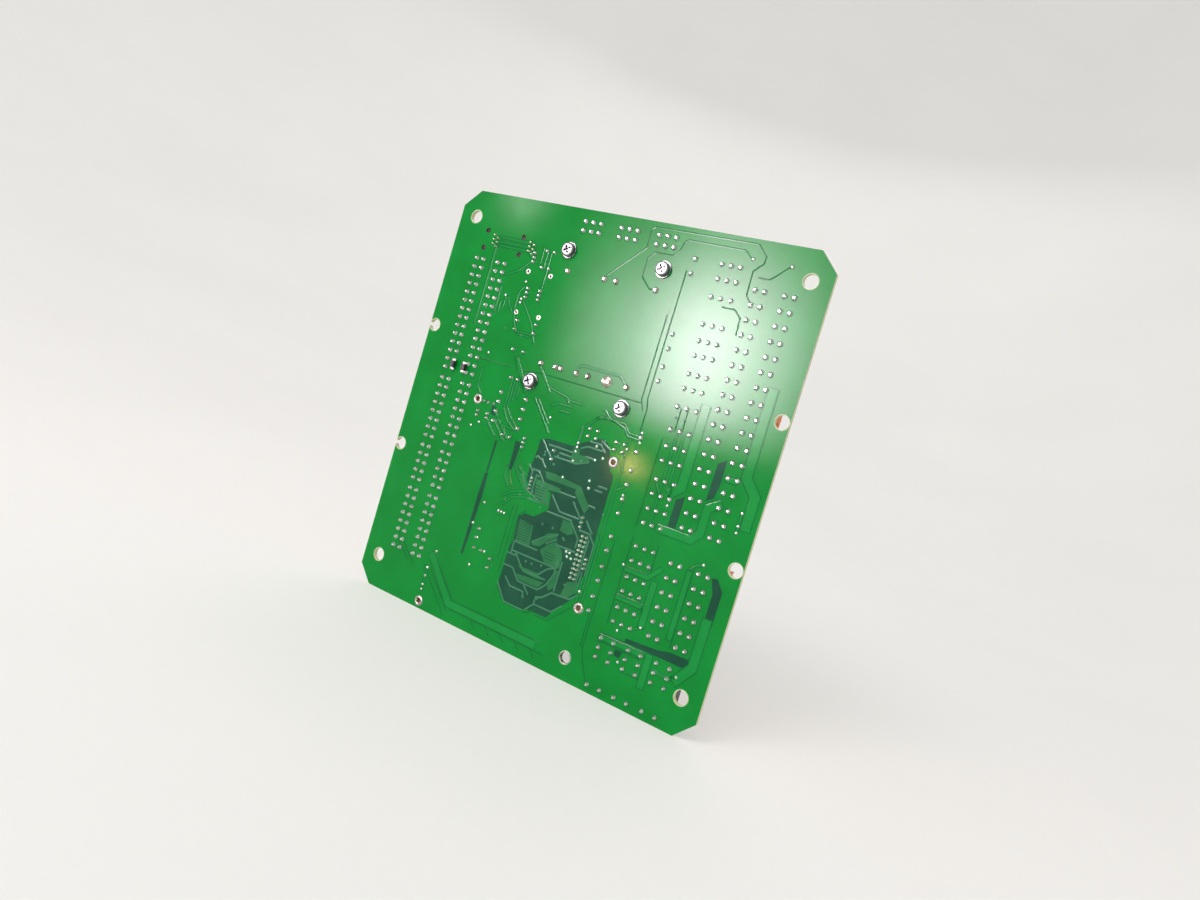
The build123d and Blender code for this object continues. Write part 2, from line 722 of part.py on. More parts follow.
# ---------------------------------------------------------------- terminals
HEADER_WALL = 1.3
HEADER_FLOOR = (2.2, 3.7)
HEADER_HEIGHT = 10.0
BLADE = (2.8, 0.9)
BLADE_TOP = 8.8
LEG_BAR = (1.1, 2.0)
HEADER_DEPTH = 27.6
PLUG_STEP = 18.0
PLUG_TOP = 27.0
WIRE_HOLE_RADIUS = 1.9
SCREW_WELL_RADIUS = 1.85
WELL_DEPTH = 2.4
TERMINAL_SCREW_RADIUS = 1.7
TERMINAL_SCREW_HEIGHT = 1.4
TERMINAL_SLOT = (4.0, 0.6, 1.0)


def strip_seat(first_column, level_spacing, strip, pitch, along):
    """Middle of a two-level strip; local X points away from the board's near edge."""
    first, count = strip
    left = first_column + (level_spacing + LEG_PITCH) / 2
    return seat(left, strip_middle(first, count, pitch), along)


def signal_seat(strip):
    return strip_seat(SIGNAL_FIRST_COLUMN, LEVEL_SPACING, strip, SIGNAL_PITCH, "right")


def power_seat(strip):
    return strip_seat(POWER_FIRST_COLUMN, POWER_LEVEL_SPACING, strip, POWER_PITCH, "left")


def way_grid(level_spacing, count, pitch, height):
    """Middle of every way on both levels of a strip."""
    half = level_spacing / 2
    return [(x, y, height) for x in (-half, half) for y in steps(count, pitch)]


def signal_header(name, strip):
    """Open shroud on the board with a slot in its floor for each contact blade."""
    count = strip[1]
    length = count * SIGNAL_PITCH + 1.0
    low, high = HEADER_FLOOR
    cavity = ((HEADER_DEPTH - 3 * HEADER_WALL) / 2, length - 2 * HEADER_WALL)
    shift = (cavity[0] + HEADER_WALL) / 2
    with BuildPart() as header:
        with Locations(signal_seat(strip)):
            Box(HEADER_DEPTH, length, HEADER_HEIGHT, align=ON_BOARD)
            with Locations((-shift, 0, high), (shift, 0, high)):
                Box(*cavity, HEADER_HEIGHT, align=ON_BOARD, mode=Mode.SUBTRACT)
            with Locations((-shift, 0, 0), (shift, 0, 0)):
                Box(*cavity, low, align=ON_BOARD, mode=Mode.SUBTRACT)
            with Locations(*way_grid(LEVEL_SPACING, count, SIGNAL_PITCH, low - AIR)):
                Box(BLADE[0] + AIR, BLADE[1] + AIR, 2.0, align=ON_BOARD, mode=Mode.SUBTRACT)
    finish(header, name)


def two_leg_contacts(seat_place, ways, blade, blade_top):
    """Contact with two solder legs, a bar across them and a blade on top."""
    low = -BOARD_THICKNESS - PIN_TIP
    leg = 2 * POWER_PIN[0]
    bar_low, bar_high = LEG_BAR
    with Locations(seat_place):
        with Locations(*ways):
            with Locations((-LEG_PITCH / 2, 0, low), (LEG_PITCH / 2, 0, low)):
                Box(leg, leg, bar_high - low, align=ON_BOARD)
            with Locations((0, 0, bar_low)):
                Box(LEG_PITCH, leg, bar_high - bar_low, align=ON_BOARD)
            with Locations((0, 0, bar_low)):
                Box(*blade, blade_top - bar_low, align=ON_BOARD)


def signal_header_pins():
    with BuildPart() as pins:
        for strip in SIGNAL_STRIPS:
            ways = way_grid(LEVEL_SPACING, strip[1], SIGNAL_PITCH, 0)
            two_leg_contacts(signal_seat(strip), ways, BLADE, BLADE_TOP)
    finish(pins, "signal_header_pins")


def stepped_body(seat_place, depth, length, low, step, top):
    """Two-level housing: low outer step on local -X, high inner step on local +X."""
    with Locations(seat_place):
        with Locations((0, 0, low)):
            Box(depth, length, step - low, align=ON_BOARD)
        with Locations((depth / 4, 0, step)):
            Box(depth / 2, length, top - step, align=ON_BOARD)


def wire_ports(seat_place, depth, levels, count, pitch):
    """Round wire entries facing outwards and screw wells on top of both levels."""
    step, top = levels
    with Locations(seat_place):
        outer = [(-depth / 2, y, step - 5.0) for y in steps(count, pitch)]
        inner = [(0, y, top - 5.0) for y in steps(count, pitch)]
        with Locations(*outer, *inner):
            Cylinder(WIRE_HOLE_RADIUS, 12.0, rotation=(0, 90, 0), mode=Mode.SUBTRACT)
        outer_wells = [(-depth / 4, y, step) for y in steps(count, pitch)]
        inner_wells = [(depth / 4, y, top) for y in steps(count, pitch)]
        with Locations(*outer_wells, *inner_wells):
            Cylinder(SCREW_WELL_RADIUS, 2 * WELL_DEPTH, mode=Mode.SUBTRACT)



def signal_plug(name, strip):
    """Removable two-level plug: two feet in the header, stepped body above it."""
    count = strip[1]
    length = count * SIGNAL_PITCH + 1.0
    low = HEADER_HEIGHT + AIR
    cavity = (HEADER_DEPTH - 3 * HEADER_WALL) / 2
    shift = (cavity + HEADER_WALL) / 2
    foot = (cavity - 0.4, length - 2 * HEADER_WALL - 0.4)
    foot_low = HEADER_FLOOR[1] + 0.3
    with BuildPart() as plug:
        stepped_body(signal_seat(strip), HEADER_DEPTH, length, low, PLUG_STEP, PLUG_TOP)
        with Locations(signal_seat(strip)):
            with Locations((-shift, 0, foot_low), (shift, 0, foot_low)):
                Box(*foot, low - foot_low, align=ON_BOARD)
            with Locations(*way_grid(LEVEL_SPACING, count, SIGNAL_PITCH, foot_low - 1.0)):
                Box(BLADE[0] + 0.5, BLADE[1] + 0.5, 7.0, align=ON_BOARD, mode=Mode.SUBTRACT)
        levels = (PLUG_STEP, PLUG_TOP)
        wire_ports(signal_seat(strip), HEADER_DEPTH, levels, count, SIGNAL_PITCH)
    finish(plug, name)


def terminal_screws(places):
    """Slotted clamp screws; each place gives a seat, a body depth, two levels and the ways."""
    for seat_place, depth, levels, count, pitch in places:
        step, top = levels
        outer = [(-depth / 4, y, step - WELL_DEPTH) for y in steps(count, pitch)]
        inner = [(depth / 4, y, top - WELL_DEPTH) for y in steps(count, pitch)]
        slot_low = TERMINAL_SCREW_HEIGHT - TERMINAL_SLOT[1]
        with Locations(seat_place):
            with Locations(*outer, *inner):
                Cylinder(TERMINAL_SCREW_RADIUS, TERMINAL_SCREW_HEIGHT, align=ON_BOARD)
                with Locations((0, 0, slot_low)):
                    Box(*TERMINAL_SLOT, align=ON_BOARD, mode=Mode.SUBTRACT)


def signal_plug_screws(name, strip):
    levels = (PLUG_STEP, PLUG_TOP)
    with BuildPart() as screws:
        terminal_screws([(signal_seat(strip), HEADER_DEPTH, levels, strip[1], SIGNAL_PITCH)])
    finish(screws, name)


POWER_DEPTH = 30.0
POWER_LEVELS = (18.0, 29.0)
MAINS_DEPTH = 12.4
MAINS_LEVEL = 16.0
RISER = (2.4, 0.9)
RISER_TOP = 9.0


def riser_slots(seat_place, ways):
    """Recess for the legs under a fixed terminal, and a slot for each riser."""
    with Locations(seat_place):
        with Locations(*ways):
            Box(LEG_PITCH + 2.2, 2.0, LEG_BAR[1] + AIR, align=ON_BOARD, mode=Mode.SUBTRACT)
            Box(RISER[0] + AIR, RISER[1] + AIR, RISER_TOP + AIR, align=ON_BOARD, mode=Mode.SUBTRACT)


def power_terminal(name, strip):
    """Fixed two-level screw terminal."""
    count = strip[1]
    length = count * POWER_PITCH + 0.8
    with BuildPart() as body:
        stepped_body(power_seat(strip), POWER_DEPTH, length, 0, *POWER_LEVELS)
        riser_slots(power_seat(strip), way_grid(POWER_LEVEL_SPACING, count, POWER_PITCH, 0))
        wire_ports(power_seat(strip), POWER_DEPTH, POWER_LEVELS, count, POWER_PITCH)
    finish(body, name)


def mains_seat(left):
    down = sum(MAINS_DOWN) / 2
    return seat(left, down, "up")


def mains_ways():
    return [(0, y, 0) for y in steps(3, SIGNAL_PITCH)]


def mains_terminals():
    """Three single-level screw terminals along the top edge."""
    length = 3 * SIGNAL_PITCH + 0.8
    with BuildPart() as bodies:
        for left in MAINS_STRIPS_LEFT:
            with Locations(mains_seat(left)):
                Box(MAINS_DEPTH, length, MAINS_LEVEL, align=ON_BOARD)
            riser_slots(mains_seat(left), mains_ways())
            with Locations(mains_seat(left)):
                with Locations([(MAINS_DEPTH / 2, y, 11.0) for y in steps(3, SIGNAL_PITCH)]):
                    Cylinder(WIRE_HOLE_RADIUS, 10.0, rotation=(0, 90, 0), mode=Mode.SUBTRACT)
                with Locations([(0, y, MAINS_LEVEL) for y in steps(3, SIGNAL_PITCH)]):
                    Cylinder(SCREW_WELL_RADIUS, 2 * WELL_DEPTH, mode=Mode.SUBTRACT)
    finish(bodies, "mains_terminals")


def power_terminal_pins():
    with BuildPart() as pins:
        for strip in POWER_STRIPS:
            ways = way_grid(POWER_LEVEL_SPACING, strip[1], POWER_PITCH, 0)
            two_leg_contacts(power_seat(strip), ways, RISER, RISER_TOP)
        for left in MAINS_STRIPS_LEFT:
            two_leg_contacts(mains_seat(left), mains_ways(), RISER, RISER_TOP)
    finish(pins, "power_terminal_pins")


def power_terminal_screws():
    strips = [
        (power_seat(strip), POWER_DEPTH, POWER_LEVELS, strip[1], POWER_PITCH)
        for strip in POWER_STRIPS
    ]
    with BuildPart() as screws:
        terminal_screws(strips)
        for left in MAINS_STRIPS_LEFT:
            with Locations(mains_seat(left)):
                with Locations([(0, y, MAINS_LEVEL - WELL_DEPTH) for y in steps(3, SIGNAL_PITCH)]):
                    Cylinder(TERMINAL_SCREW_RADIUS, TERMINAL_SCREW_HEIGHT, align=ON_BOARD)
    finish(screws, "power_terminal_screws")


# ---------------------------------------------------------------- modular jacks
JACK_PEG_RADIUS = 1.1
JACK_PORT = (9.8, 6.8, 12.5)
JACK_LATCH = (6.4, 2.6, 12.5)
JACK_PORT_X = 0.4


def jack_peg_places():
    places = []
    for left, down in JACKS:
        for side in (-JACK_PEG_SPREAD, JACK_PEG_SPREAD):
            places.append(on_board(left + JACK_PEG_X, down + side))
    return places


def modular_jacks():
    """Top-entry jacks: plug port with a latch slot, contact comb and two locating pegs."""
    length, width, height = JACK_SIZE
    floor = height - JACK_PORT[2]
    with BuildPart() as jacks:
        with Locations(*[seat(*place) for place in JACKS]):
            Box(*JACK_SIZE, align=ON_BOARD)
            with Locations((JACK_PORT_X, 0, floor)):
                Box(JACK_PORT[1], JACK_PORT[0], JACK_PORT[2], align=ON_BOARD, mode=Mode.SUBTRACT)
            with Locations((JACK_PORT_X - JACK_PORT[1] / 2 - JACK_LATCH[1] / 2, 0, floor)):
                Box(
                    JACK_LATCH[1] + AIR,
                    JACK_LATCH[0],
                    JACK_LATCH[2],
                    align=ON_BOARD,
                    mode=Mode.SUBTRACT,
                )
            with Locations((sum(JACK_PIN_COLUMNS) / 2, 0, 0)):
                Box(3.6, 8.0, 2.2, align=ON_BOARD, mode=Mode.SUBTRACT)
            for side in (-JACK_PEG_SPREAD, JACK_PEG_SPREAD):
                with Locations((JACK_PEG_X, side, 0)):
                    Cylinder(JACK_PEG_RADIUS, BOARD_THICKNESS - 0.4, align=BELOW)
    finish(jacks, "modular_jacks")


def jack_contacts():
    with BuildPart() as contacts:
        posts(jack_legs(), FINE_PIN, 2.0)
    finish(contacts, "jack_contacts")


# ---------------------------------------------------------------- headers, jumpers, buttons
STRIP_HEIGHT = 2.5
HEADER_PIN_TOP = 8.5
JUMPER_CAP = (2.5, 5.0, 6.0)


def header_strips():
    """Plastic bases of the pin headers, with a drilled way for each pin."""
    hole = 2 * SMALL_PIN[0]
    with BuildPart() as strips:
        with Locations(seat(*BUS_HEADER)):
            Box(2 * HEADER_PITCH, BUS_HEADER_ROWS * HEADER_PITCH, STRIP_HEIGHT, align=ON_BOARD)
            with GridLocations(HEADER_PITCH, HEADER_PITCH, 2, BUS_HEADER_ROWS):
                Box(hole, hole, STRIP_HEIGHT, align=ON_BOARD, mode=Mode.SUBTRACT)
        with Locations(*[seat(*place) for place in JUMPERS]):
            Box(HEADER_PITCH, 3 * HEADER_PITCH, STRIP_HEIGHT, align=ON_BOARD)
            with GridLocations(HEADER_PITCH, HEADER_PITCH, 1, 3):
                Box(hole, hole, STRIP_HEIGHT, align=ON_BOARD, mode=Mode.SUBTRACT)
        hole = 2 * FINE_PIN[0]
        with Locations(seat(*SOCKET_STRIP)):
            Box(2.2, 4 * SOCKET_STRIP_PITCH, STRIP_HEIGHT, align=ON_BOARD)
            with GridLocations(HEADER_PITCH, SOCKET_STRIP_PITCH, 1, 4):
                Box(hole, hole, STRIP_HEIGHT, align=ON_BOARD, mode=Mode.SUBTRACT)
    finish(strips, "header_strips")


def header_pins():
    with BuildPart() as pins:
        posts(bus_legs() + jumper_legs(), SMALL_PIN, HEADER_PIN_TOP)
        posts(socket_legs(), FINE_PIN, 5.5)
    finish(pins, "header_pins")


def jumper_cap(name, place):
    """Shorting cap over the lower two pins of a jumper strip."""
    hole = 2 * SMALL_PIN[0] + 2 * AIR
    low = STRIP_HEIGHT + 0.2
    with BuildPart() as cap:
        with Locations(seat(*place)):
            with Locations((0, HEADER_PITCH / 2, low)):
                Box(*JUMPER_CAP, align=ON_BOARD)
                Box(1.6, 3.4, 2.0, align=ON_BOARD, mode=Mode.SUBTRACT)
            with Locations((0, 0, low), (0, HEADER_PITCH, low)):
                Box(hole, hole, JUMPER_CAP[2], align=ON_BOARD, mode=Mode.SUBTRACT)
        fillet(cap.edges().filter_by(Axis.Y).group_by(Axis.X)[0], 0.2)
    finish(cap, name)


BUTTON_BODY = (6.0, 6.0, 3.6)
PLUNGER_RADIUS = 1.75
PLUNGER_TOP = 7.0
BUTTON_TRAVEL = 0.25
PLUNGER_WELL = 2.6


def button_bodies():
    x, y = BUTTON_LEGS
    with BuildPart() as bodies:
        with Locations(*[seat(*place) for place in BUTTONS]):
            Box(*BUTTON_BODY, align=ON_BOARD)
            with Locations((0, 0, BUTTON_BODY[2])):
                Cylinder(PLUNGER_RADIUS + AIR, 2 * PLUNGER_WELL, mode=Mode.SUBTRACT)
            with Locations([(i, j, 0) for i in (-x, x) for j in (-y, y)]):
                Box(0.75, 0.75, 0.8, align=ON_BOARD, mode=Mode.SUBTRACT)
    finish(bodies, "button_bodies")


def button_plunger(name, place):
    low = BUTTON_BODY[2] - PLUNGER_WELL + BUTTON_TRAVEL + AIR
    with BuildPart() as plunger:
        with Locations(seat(*place)):
            with Locations((0, 0, low)):
                Cylinder(PLUNGER_RADIUS, PLUNGER_TOP - low, align=ON_BOARD)
        rim = plunger.edges().filter_by(GeomType.CIRCLE).sort_by(Axis.Y)[-1]
        fillet(rim, 0.4)
    finish(plunger, name)


# ---------------------------------------------------------------- other components
CAN_LIFT = 0.6
STANDOFF_RADIUS = 3.0
STANDOFF_BORE = 1.25
STANDOFF_SHANK = 2.1
STANDOFF_HEIGHT = 10.0


def threaded_standoffs():
    with BuildPart() as standoffs:
        with Locations(*[seat(*place) for place in STANDOFFS]):
            Cylinder(STANDOFF_RADIUS, STANDOFF_HEIGHT, align=ON_BOARD)
            Cylinder(STANDOFF_SHANK, BOARD_THICKNESS, align=BELOW)
            Cylinder(STANDOFF_BORE, 3 * STANDOFF_HEIGHT, mode=Mode.SUBTRACT)
    finish(standoffs, "threaded_standoffs")


def capacitor_cans():
    with BuildPart() as cans:
        for left, down, _, _, radius, height in CAPACITORS:
            with Locations(seat(left, down)):
                with Locations((0, 0, CAN_LIFT)):
                    Cylinder(radius, height, align=ON_BOARD)
        fillet(cans.edges().filter_by(GeomType.CIRCLE), CAN_LIFT)
    finish(cans, "capacitor_cans")


def component_legs():
    """Legs of the buttons, capacitors, choke and optocouplers."""
    with BuildPart() as legs:
        posts(button_legs(), SMALL_PIN, 0.7)
        posts(capacitor_legs(), SMALL_PIN, CAN_LIFT)
        posts(choke_legs(), RELAY_PIN, 3.0)
        posts(coupler_legs(), SMALL_PIN, 2.3)
        for left, down, half, rows in COUPLERS:
            for side in (-1, 1):
                places = [(side * (half - 0.35), y, 1.7) for y in steps(rows, HEADER_PITCH)]
                with Locations(seat(left, down)):
                    with Locations(*places):
                        Box(0.5, 0.6, 0.6, align=ON_BOARD)
    finish(legs, "component_legs")


def choke_winding():
    """Winding on a pin board, with a post that joins the two under the core."""
    hole = 2 * RELAY_PIN[0]
    tunnel = CHOKE_LEG_WIDTH + 2 * AIR
    with BuildPart() as winding:
        with Locations(seat(*CHOKE)):
            Box(*CHOKE_BOARD, align=ON_BOARD)
            with Locations((0, 0, CHOKE_MIDDLE)):
                Box(*CHOKE_COIL)
            with GridLocations(2 * CHOKE_LEGS_X, CHOKE_LEG_PITCH, 2, 4):
                Box(hole, hole, CHOKE_BOARD[2], align=ON_BOARD, mode=Mode.SUBTRACT)
            with Locations((0, 0, CHOKE_MIDDLE)):
                Box(tunnel, 2 * CHOKE_CORE[1], tunnel, mode=Mode.SUBTRACT)
        with Locations(seat(*CHOKE)):
            with Locations((0, 0, CHOKE_MIDDLE - CHOKE_COIL[2] / 2 + AIR)):
                Box(*CHOKE_POST, align=BELOW)
    finish(winding, "choke_winding")


def choke_core():
    """Ferrite frame round the winding with a centre leg through it."""
    height = CHOKE_CORE[2]
    with BuildPart() as core:
        with Locations(seat(*CHOKE)):
            with Locations((0, 0, CHOKE_MIDDLE)):
                Box(*CHOKE_CORE)
                Box(*CHOKE_WINDOW, height, mode=Mode.SUBTRACT)
                Box(CHOKE_LEG_WIDTH, CHOKE_CORE[1], height)
    finish(core, "choke_core")


def crystal():
    """Oval can standing on two leads."""
    with BuildPart() as can:
        with Locations(seat(*CRYSTAL)):
            with Locations((0, 0, 0.4)):
                Box(*CRYSTAL_CAN, align=ON_BOARD)
        fillet(can.edges().filter_by(Axis.Y), CRYSTAL_CORNER)
        posts(crystal_legs(), SMALL_PIN, 0.4)
    finish(can, "crystal")


def regulator():
    """Plastic body and metal tab stand upright on three leads."""
    tab_y = (REGULATOR_BODY[1] - REGULATOR_TAB[1]) / 2
    tab_low = REGULATOR_LIFT + REGULATOR_BODY[2]
    with BuildPart() as body:
        with Locations(seat(*REGULATOR)):
            with Locations((0, 0, REGULATOR_LIFT)):
                Box(*REGULATOR_BODY, align=ON_BOARD)
            with Locations((0, tab_y, tab_low)):
                Box(*REGULATOR_TAB, align=ON_BOARD)
            with Locations((0, tab_y, tab_low + REGULATOR_HOLE[1])):
                Cylinder(REGULATOR_HOLE[0], 10.0, rotation=(90, 0, 0), mode=Mode.SUBTRACT)
        posts(regulator_legs(), SMALL_PIN, REGULATOR_LIFT)
    finish(body, "voltage_regulator")


def processor():
    width, length, height = PROCESSOR_SIZE
    with BuildPart() as body:
        with Locations(seat(*PROCESSOR)):
            with Locations((0, 0, CHIP_LIFT)):
                Box(width, length, height, align=ON_BOARD)
        chamfer(body.edges().filter_by(Axis.Y), 0.6)
    finish(body, "processor")


def gull_lead(width):
    """One bent lead: knee at the package's side, riser, and foot on the board."""
    foot, knee = LEAD_REACH
    outline = (
        (0, LEAD_KNEE_HEIGHT),
        (knee, LEAD_KNEE_HEIGHT),
        (knee, 0),
        (foot, 0),
        (foot, LEAD_THICKNESS),
        (knee + LEAD_THICKNESS, LEAD_THICKNESS),
        (knee + LEAD_THICKNESS, LEAD_KNEE_HEIGHT + LEAD_THICKNESS),
        (0, LEAD_KNEE_HEIGHT + LEAD_THICKNESS),
    )
    with BuildPart() as lead:
        with BuildSketch(Plane.XZ):
            with BuildLine():
                Polyline(*outline, close=True)
            make_face()
        extrude(amount=width / 2, both=True)
    return lead.part


def lead_places(package_seat, width, count, pitch):
    """Places along both long sides of a package, each with local X pointing outwards."""
    places = []
    for side, turn in ((width / 2, 0), (-width / 2, 180)):
        places += [package_seat * Location((side, y, 0), (0, 0, turn)) for y in steps(count, pitch)]
    return places


def chip_packages():
    with BuildPart() as bodies:
        for left, down, length, width, _ in PACKAGES:
            with Locations(seat(left, down)):
                with Locations((0, 0, CHIP_LIFT)):
                    Box(width, length, PACKAGE_HEIGHT, align=ON_BOARD)
        for left, down, half, rows in COUPLERS:
            with Locations(seat(left, down)):
                with Locations((0, 0, COUPLER_LIFT)):
                    Box(2 * half - 1.2, rows * HEADER_PITCH, COUPLER_HEIGHT, align=ON_BOARD)
    finish(bodies, "chip_packages")


def chip_leads():
    """Leads of the processor on four sides and of the smaller chips on two."""
    size = PROCESSOR_SIZE[0]
    fine = [
        lead_places(seat(*PROCESSOR, along), size, PROCESSOR_LEADS, FINE_LEAD_PITCH)
        for along in ("right", "up")
    ]
    coarse = [
        lead_places(seat(left, down), width, count, LEAD_PITCH)
        for left, down, _, width, count in PACKAGES
    ]
    with BuildPart() as leads:
        for width, places in ((FINE_LEAD_WIDTH, fine), (LEAD_WIDTH, coarse)):
            with Locations(*sum(places, [])):
                add(gull_lead(width))
    finish(leads, "chip_leads")


DIODE_BODY = (2.6, 3.8, 2.0)
DIODE_LIFT = SOLDER_HEIGHT + 0.1
DIODE_TERMINAL = (2.0, 1.2, 0.9)


def solder_side_diodes():
    """Two moulded diodes added across neighbouring contact legs on the solder side."""
    with BuildPart() as bodies:
        for place in SOLDER_SIDE_DIODES:
            x, z = on_board(*place)
            with Locations((x, -DIODE_LIFT - DIODE_BODY[2] / 2, z)):
                Box(DIODE_BODY[0], DIODE_BODY[2], DIODE_BODY[1])
        chamfer(bodies.faces().sort_by(Axis.Y)[:2].edges(), 0.3)
    finish(bodies, "solder_side_diodes")


def diode_terminals():
    with BuildPart() as terminals:
        for place, side in zip(SOLDER_SIDE_DIODES, (1, -1)):
            x, z = on_board(*place)
            reach = DIODE_BODY[1] / 2 + DIODE_TERMINAL[1] / 2
            for end in (-reach, reach):
                with Locations((x + side * 0.25, -DIODE_LIFT - DIODE_TERMINAL[2] / 2, z + end)):
                    Box(DIODE_TERMINAL[0], DIODE_TERMINAL[2], DIODE_TERMINAL[1])
    finish(terminals, "diode_terminals")


def main():
    os.makedirs("parts", exist_ok=True)
    circuit_board()
    solder_joints()
    threaded_standoffs()
    transformer_core()
    transformer_bobbin()
    transformer_windings()
    transformer_pins()
    transformer_spacers()
    transformer_screws()
    transformer_washers()
    transformer_nuts()
    relay_bases()
    relay_covers()
    relay_yokes()
    relay_coils()
    relay_pins()
    column = [seat(COLUMN_RELAY_LEFT, down) for down in COLUMN_RELAYS_DOWN]
    row = [seat(left, ROW_RELAY_DOWN, "up") for left in ROW_RELAYS_LEFT]
    relay_armatures("relay_armatures_column", column)
    relay_armatures("relay_armatures_row", row)
    power_transistors()
    transistor_leads()
    heatsinks()
    heatsink_fasteners()
    for index, strip in enumerate(SIGNAL_STRIPS, 1):
        signal_header(f"signal_header_{index}", strip)
        signal_plug(f"signal_plug_{index}", strip)
        signal_plug_screws(f"signal_plug_screws_{index}", strip)
    signal_header_pins()
    power_terminal("power_terminal_upper", POWER_STRIPS[0])
    power_terminal("power_terminal_lower", POWER_STRIPS[1])
    mains_terminals()
    power_terminal_pins()
    power_terminal_screws()
    modular_jacks()
    jack_contacts()
    header_strips()
    header_pins()
    for index, place in enumerate(CAPPED_JUMPERS, 1):
        jumper_cap(f"jumper_cap_{index}", place)
    button_bodies()
    for index, place in enumerate(BUTTONS, 1):
        button_plunger(f"button_plunger_{index}", place)
    capacitor_cans()
    component_legs()
    choke_winding()
    choke_core()
    crystal()
    regulator()
    processor()
    chip_packages()
    chip_leads()
    solder_side_diodes()
    diode_terminals()


main()
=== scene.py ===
"""Studio scene of a controller mother board, seen from its solder side.

Everything is in metres, in the CAD frame. Places on the board are in mm from its left and top
edges, and heights are in mm above the face that they are on.
"""

import json
import math

import bmesh
import bpy
from mathutils import Matrix, Vector, noise


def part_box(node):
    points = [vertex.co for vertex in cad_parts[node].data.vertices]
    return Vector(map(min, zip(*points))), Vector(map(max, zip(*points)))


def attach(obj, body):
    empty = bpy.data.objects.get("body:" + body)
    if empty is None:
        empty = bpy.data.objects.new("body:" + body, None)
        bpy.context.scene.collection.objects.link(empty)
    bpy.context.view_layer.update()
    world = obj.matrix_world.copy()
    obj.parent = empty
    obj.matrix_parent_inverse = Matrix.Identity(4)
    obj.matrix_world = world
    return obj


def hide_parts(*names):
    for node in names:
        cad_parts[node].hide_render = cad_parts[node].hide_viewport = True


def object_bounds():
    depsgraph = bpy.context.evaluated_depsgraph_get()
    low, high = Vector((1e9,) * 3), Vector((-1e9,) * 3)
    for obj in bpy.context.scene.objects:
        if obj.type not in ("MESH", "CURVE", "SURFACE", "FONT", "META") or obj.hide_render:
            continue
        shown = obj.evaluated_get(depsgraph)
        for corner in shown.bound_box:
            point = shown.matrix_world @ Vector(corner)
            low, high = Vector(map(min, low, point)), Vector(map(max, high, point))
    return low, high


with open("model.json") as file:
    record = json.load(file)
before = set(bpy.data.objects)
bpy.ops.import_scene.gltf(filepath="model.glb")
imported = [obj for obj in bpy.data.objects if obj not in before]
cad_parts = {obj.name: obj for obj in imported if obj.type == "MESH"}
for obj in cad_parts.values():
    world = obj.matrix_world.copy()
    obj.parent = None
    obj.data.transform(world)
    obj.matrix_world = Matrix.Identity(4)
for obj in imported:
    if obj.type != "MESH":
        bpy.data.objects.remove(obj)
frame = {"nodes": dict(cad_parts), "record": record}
CAD_BOX = [list(corner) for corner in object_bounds()]
MM = 0.001
BOARD_LOW, BOARD_HIGH = (Vector(corner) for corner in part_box("circuit_board"))
SOLDER_FACE = BOARD_LOW.y
COMPONENT_FACE = BOARD_HIGH.y
BOARD_THICKNESS = (COMPONENT_FACE - SOLDER_FACE) / MM
BOARD_SLOT = "solder_mask_board"


# ---------------------------------------------------------------- materials
MASK_ROUGHNESS = 0.09
MASK_SPECULAR = 0.15
# Each green is a pair of tones that the surface drifts between.
MASK_GREEN = ((0.001, 0.218, 0.027), (0.002, 0.252, 0.034))
TRACE_GREEN = ((0.004, 0.246, 0.038), (0.008, 0.278, 0.048))
GROOVE_GREEN = ((0.001, 0.136, 0.029), (0.003, 0.165, 0.035))
BARE_GREEN = ((0.006, 0.064, 0.034), (0.012, 0.086, 0.046))
FINE_GREEN = ((0.040, 0.175, 0.090), (0.060, 0.225, 0.120))
ISLAND_GREEN = ((0.018, 0.152, 0.052), (0.034, 0.205, 0.074))
CUT_EDGE = ((0.42, 0.44, 0.20), (0.74, 0.76, 0.52))
MOULDED_EDGE_RADIUS = 0.00025
# Every material by the name that it is made with, as Blender may number a name that is taken.
MATERIALS = {}


def shader_of(made):
    return made.node_tree.nodes["Principled BSDF"]


def set_input(made, node, name, value):
    """Link an input when the value is a socket, or else set it."""
    if isinstance(value, bpy.types.NodeSocket):
        made.node_tree.links.new(value, node.inputs[name])
    else:
        node.inputs[name].default_value = value


def add_node(made, kind, inputs=None, **settings):
    node = made.node_tree.nodes.new("ShaderNode" + kind)
    for name, value in settings.items():
        setattr(node, name, value)
    for name, value in (inputs or {}).items():
        set_input(made, node, name, value)
    return node


def new_material(name, colour, roughness, metallic=0.0):
    made = bpy.data.materials.new(name)
    made.use_nodes = True
    shader = shader_of(made)
    set_input(made, shader, "Base Color", (*colour, 1.0))
    set_input(made, shader, "Roughness", roughness)
    set_input(made, shader, "Metallic", metallic)
    MATERIALS[name] = made
    return made


def noise_of(made, scale, stretch=None):
    """Noise in object coordinates, in cycles a metre; stretch scales each axis."""
    place = add_node(made, "TexCoord").outputs["Object"]
    if stretch:
        place = add_node(made, "Mapping", {"Scale": stretch, "Vector": place}).outputs["Vector"]
    texture = add_node(made, "TexNoise", {"Scale": scale, "Detail": 4.0, "Vector": place})
    return texture.outputs["Fac"]


def ramp_of(made, factor, dark, light, low=0.0, high=1.0):
    """Colour between two tones as a factor goes from low to high."""
    ramp = add_node(made, "ValToRGB", {"Fac": factor})
    for stop, position, tone in zip(ramp.color_ramp.elements, (low, high), (dark, light)):
        stop.position = position
        stop.color = (*tone, 1.0)
    return ramp.outputs["Color"]


def vary_colour(made, dark, light, scale, stretch=None):
    tone = ramp_of(made, noise_of(made, scale, stretch), dark, light, 0.35, 0.65)
    set_input(made, shader_of(made), "Base Color", tone)


